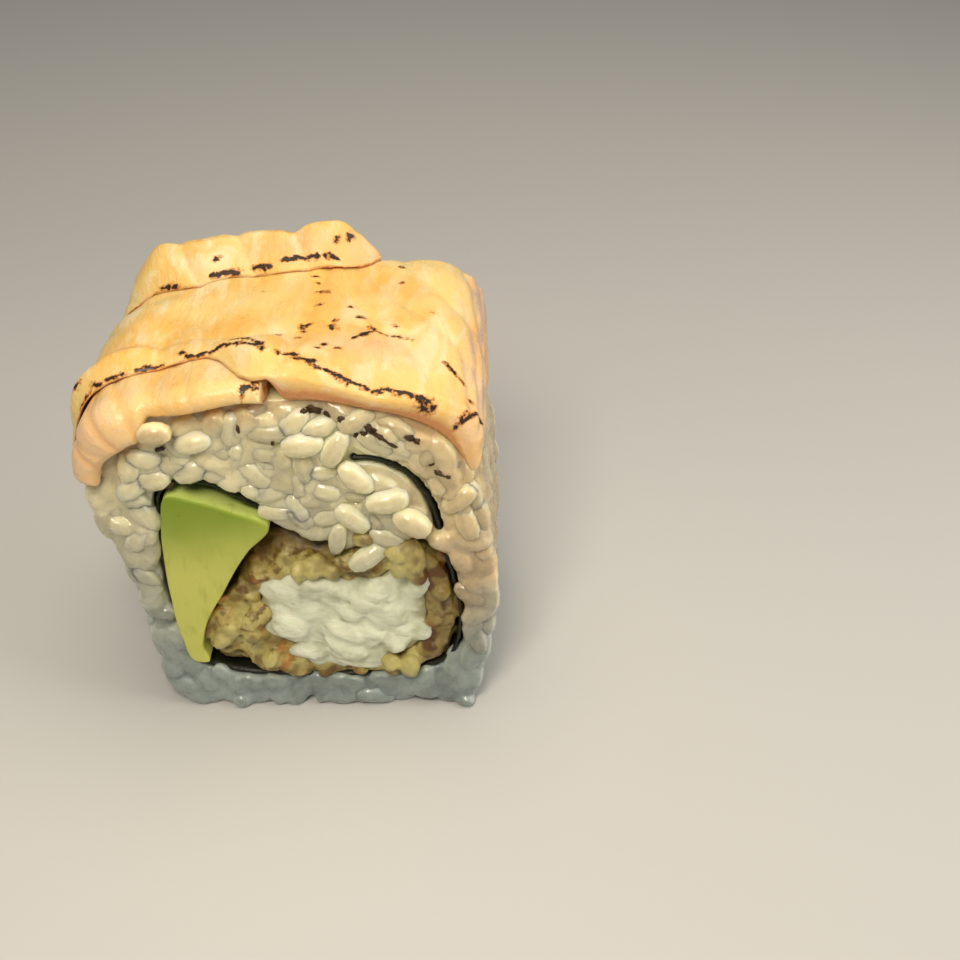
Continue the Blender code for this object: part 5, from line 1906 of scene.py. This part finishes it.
@dataclass(frozen=True)
class Sear:
    """Char marks on a slice, in millimetres.

    Attributes:
        strokes: lines of (s, y) points.
        specks: single points.
        width: how broad they are.
    """

    strokes: tuple[Line, ...]
    specks: Line = ()
    width: float = 0.26

    def at(self, s: Array, y: Array) -> Array:
        """How deep in char each place is, from 0 to 1."""
        spots = np.column_stack([s.ravel(), y.ravel()])
        nearest = np.full(len(spots), 1e9)
        dots = [(speck, speck) for speck in self.specks]
        for line in (*self.strokes, *dots):
            for a, b in zip(np.array(line, float), np.array(line[1:], float)):
                way = b - a
                share = np.clip((spots - a) @ way / max(way @ way, 1e-9), 0, 1)
                nearest = np.minimum(nearest, np.linalg.norm(spots - a - share[:, None] * way, axis=1))
        torn = Lumps(1.0, 83, 2).at(np.column_stack([spots, np.zeros(len(spots))]))
        reach = self.width * (1.5 + 1.3 * torn)
        return np.exp(-((nearest / np.maximum(reach, 0.05)) ** 2)).reshape(s.shape)


MAIN_SEAR = Sear((
    # the front left edge, from the corner to the crown
    ((-24.2, -12.7), (-23.3, -12.5)), ((-24.4, -9.8), (-23.9, -10.2)), ((-22.3, -11.6), (-21.9, -12.3)),
    ((-21.2, -12.1), (-20.4, -12.0), (-19.6, -11.8)), ((-18.2, -11.5), (-17.0, -11.3), (-15.2, -11.1)),
    ((-12.9, -9.7), (-12.0, -10.6), (-11.0, -10.8), (-9.8, -10.5)),
    ((-9.2, -10.6), (-7.9, -10.4), (-5.2, -11.2), (-2.9, -12.8), (-2.4, -13.6)),
    ((-6.8, -9.3), (-4.6, -10.3), (-2.6, -12.5)),
    # the front edge, from the crown to the right shoulder
    ((-0.6, -13.6), (0.9, -13.2)), ((1.1, -14.0), (3.1, -13.8)),
    ((3.2, -14.5), (4.7, -14.9), (6.4, -15.3), (8.0, -15.7), (10.1, -16.1)),
    ((10.5, -16.0), (11.7, -15.8), (13.2, -15.9), (14.3, -15.9)),
    ((14.9, -16.0), (15.8, -16.1), (17.2, -16.2)),
    # the right shoulder
    ((20.1, -16.4), (20.8, -15.3), (21.2, -14.4), (22.5, -13.8)),
    ((17.4, -8.8), (18.3, -9.9), (19.4, -11.1)),
    # the ridge across the right of the crown, and the crown itself
    ((6.9, -6.8), (8.0, -5.5), (8.7, -4.7)), ((8.3, -3.5), (9.9, -4.4), (12.0, -4.7), (13.0, -5.2)),
    ((6.9, -1.8), (7.5, -1.8)), ((0.7, -4.6), (1.6, -4.1)), ((4.5, -4.6), (3.9, -4.3)),
    ((1.4, 4.5), (2.2, 4.4)),
), (
    (20.6, -13.2), (13.8, -5.4), (11.3, -2.7), (11.2, 13.2), (11.6, 8.6), (15.5, 1.1), (0.9, -5.9),
    (0.5, -7.5), (4.3, -3.0), (3.2, -10.8), (3.8, -9.7), (5.3, -10.2), (1.1, 7.1), (0.5, 8.5), (5.4, 0.4),
    (2.1, 0.6), (-5.4, 4.8), (-1.9, -6.9),
))
RIDGE_SEAR = Sear((
    ((-12.6, 9.1), (-10.5, 9.5)), ((-10.2, 9.5), (-9.5, 9.6)), ((-7.4, 10.2), (-6.4, 10.0), (-5.5, 9.8)),
    ((-3.6, 10.6), (-2.4, 10.8), (-0.8, 11.1), (0.6, 11.3)), ((1.4, 11.5), (2.8, 11.6)),
    ((-19.0, 9.2), (-18.1, 8.9), (-17.3, 8.7)), ((3.8, 14.0), (4.4, 14.4)),
), ((2.6, 13.4), (-12.2, 11.3)), 0.25)
FLAP_SEAR = Sear((((-3.6, -16.4), (-4.6, -16.9)),), width=0.32)


@dataclass
class CharFlakes:
    """Flakes of char that have dropped onto the rice's cut face."""

    places: tuple[tuple[float, ...], ...] = (
        # x, z, length, width, turn in degrees
        (1.2, 50.5, 1.0, 0.7, 20), (2.3, 50.2, 1.9, 1.0, -12), (3.9, 49.8, 1.0, 0.5, -30),
        (5.7, 49.3, 1.0, 0.9, -40), (9.2, 47.7, 1.8, 1.1, -35), (10.4, 46.9, 2.0, 0.8, -28),
        (11.9, 45.7, 1.3, 0.5, -30), (8.3, 47.2, 0.8, 0.9, 60), (7.4, 46.7, 0.8, 0.6, 40),
        (14.0, 46.4, 1.5, 0.9, -15), (14.9, 45.9, 0.9, 0.8, -60), (-7.1, 48.6, 0.5, 1.1, 10),
        (-3.0, 46.4, 0.5, 0.6, 0), (16.6, 42.1, 1.2, 0.6, -35), (17.6, 41.2, 1.4, 0.7, -30),
        (18.7, 40.8, 0.6, 0.5, 0), (-17.5, 45.3, 1.4, 0.6, 15), (-17.1, 39.2, 1.2, 0.9, 40),
    )
    thick: float = 0.2
    sides: int = 13
    broader: float = 1.15

    def build(self, ground: Sequence[bpy.types.Object]) -> None:
        """Lays every flake on the rice below it.

        Args:
            ground: the pieces that make up the rice.
        """
        spots, sides = [], []
        for piece in ground:
            places, _ = points_of(piece.data)
            start = sum(len(s) for s in spots)
            spots.append(places)
            front = places[:, 1] < 0.8 * FRONT * MM
            sides += [[start + v for v in p.vertices] for p in piece.data.polygons if front[p.vertices[0]]]
        tree = BVHTree.FromPolygons(np.vstack(spots).tolist(), sides)
        draw = np.random.default_rng(77)
        points, faces = [], []
        for x, z, length, width, turn in self.places:
            centre = settle(np.array([[x, FRONT, z]]))[0]
            hit, normal, _, _ = tree.ray_cast(Vector((centre[0], -0.03, centre[2])), Vector((0, 1, 0)))
            if hit is None:
                hit, normal = Vector(centre), Vector((0, -1, 0))
            self.flake(points, faces, draw, hit, normal, (length, width, math.radians(turn)))
        mesh = mesh_from("char_flakes", np.array(points), faces)
        finish_piece(new_object("char_flakes", mesh), CharFinish(), "salmon")

    def flake(self, points: list, faces: list, draw: np.random.Generator, hit: Vector, normal: Vector,
              shape: tuple[float, float, float]) -> None:
        """Adds one flake: a thin crooked plate on the grain.

        Args:
            points: the points so far, in metres.
            faces: the faces so far.
            draw: the source of chance.
            hit: where it lies.
            normal: the way out of the grain.
            shape: its length, width and turn.
        """
        length, width, turn = shape[0] * self.broader, shape[1] * self.broader, shape[2]
        out = (normal + Vector((0, -1, 0))).normalized()
        across = Vector((math.cos(turn), 0, math.sin(turn)))
        across = (across - across.dot(out) * out).normalized()
        up = out.cross(across)
        start = len(points)
        for level in (-0.5, 0.5):
            for k in range(self.sides):
                angle = 2 * math.pi * k / self.sides
                ragged = draw.uniform(0.5, 1.2)
                u, v = length / 2 * ragged * math.cos(angle), width / 2 * ragged * math.sin(angle)
                lift = self.thick * level + draw.uniform(-0.08, 0.08)
                points.append(tuple(hit + (across * u + up * v + out * (lift + 0.1)) * MM))
        top = [start + self.sides + k for k in range(self.sides)]
        base = [start + k for k in range(self.sides)]
        faces += [top, base[::-1]]
        after = [(k + 1) % self.sides for k in range(self.sides)]
        faces += [(base[k], base[n], top[n], top[k]) for k, n in enumerate(after)]


@dataclass(frozen=True)
class Lamp:
    """A square soft light, in metres and watts, that faces a point."""

    name: str
    place: tuple[float, float, float]
    target: tuple[float, float, float]
    size: float
    power: float
    colour: Colour

    def hang(self) -> None:
        """Adds the light, out of the camera's sight."""
        lamp = bpy.data.lights.new(self.name, "AREA")
        lamp.shape = "SQUARE"
        lamp.size = self.size
        lamp.energy = self.power
        lamp.color = linear(self.colour)[:3]
        made = bpy.data.objects.new(self.name, lamp)
        made.location = self.place
        made.visible_camera = False
        made.rotation_euler = (Vector(self.target) - Vector(self.place)).to_track_quat("-Z", "Y").to_euler()
        bpy.context.scene.collection.objects.link(made)


@dataclass
class Studio:
    """A pale floor, soft lights and the photograph's camera."""

    camera_place: tuple[float, float, float] = (0.0225, -0.15125, 0.134)
    camera_pitch: float = 55.0  # degrees from looking straight down
    lens: float = 48.75
    sensor: float = 36.0
    nearest: float = 0.005
    floor_size: float = 3.0
    floor_drop: float = 1e-5
    lamps: tuple[Lamp, ...] = (
        Lamp("overhead", (0.02, 0.04, 0.62), (0, 0, 0.03), 0.5, 1.75, (255, 243, 222)),
        Lamp("key", (-0.02, -0.15, 0.21), (0, 0, 0.045), 0.07, 0.32, (255, 242, 222)),
        Lamp("side", (0.3, -0.06, 0.2), (0, 0, 0.03), 0.2, 0.45, (255, 248, 238)),
    )
    sky: Colour = (238, 240, 244)
    sky_strength: float = 0.13

    def build(self) -> None:
        """Makes the floor, the lights, the world and the camera."""
        self.floor()
        for lamp in self.lamps:
            lamp.hang()
        world = bpy.data.worlds.new("studio")
        world.use_nodes = True
        background = world.node_tree.nodes["Background"].inputs
        background["Color"].default_value = linear(self.sky)
        background["Strength"].default_value = self.sky_strength
        bpy.context.scene.world = world
        bpy.context.scene.view_settings.view_transform = "Standard"
        self.camera()

    def floor(self) -> None:
        """The floor that the piece stands on."""
        half = self.floor_size / 2
        corners = np.array([(-half, -half, 0), (half, -half, 0), (half, half, 0), (-half, half, 0)], float)
        floor = new_object("floor", bpy.data.meshes.new("floor"))
        floor.data.from_pydata((corners - (0, 0, self.floor_drop)).tolist(), [], [(0, 1, 2, 3)])
        floor.data.materials.append(FloorFinish().material())

    def camera(self) -> None:
        """The camera at the photograph's place."""
        lens = bpy.data.cameras.new("camera")
        lens.lens = self.lens
        lens.sensor_width = self.sensor
        lens.clip_start = self.nearest
        made = bpy.data.objects.new("camera", lens)
        made.location = self.camera_place
        made.rotation_euler = (math.radians(self.camera_pitch), 0, 0)
        bpy.context.scene.collection.objects.link(made)
        bpy.context.scene.camera = made


def main() -> None:
    """Builds every food and the studio."""
    form = RollForm()
    drape = Drape(form.outline)
    rice = RiceHeap(form, drape)
    rice.build()
    Seaweed(form).build()
    Avocado().build()
    prawn = Prawn()
    prawn.build()
    Batter().build(prawn)
    flap = FrontFlap()
    sheet = MainSlice(flap)
    ridge = BackRidge(sheet)
    flap.build(drape, FLAP_SEAR)
    sheet.build(drape, MAIN_SEAR)
    ridge.build(drape, RIDGE_SEAR)
    CharFlakes().build(rice.pieces)
    Studio().build()


if __name__ == "__main__":
    logging.basicConfig(level=logging.INFO, format="%(name)s: %(message)s")
    main()
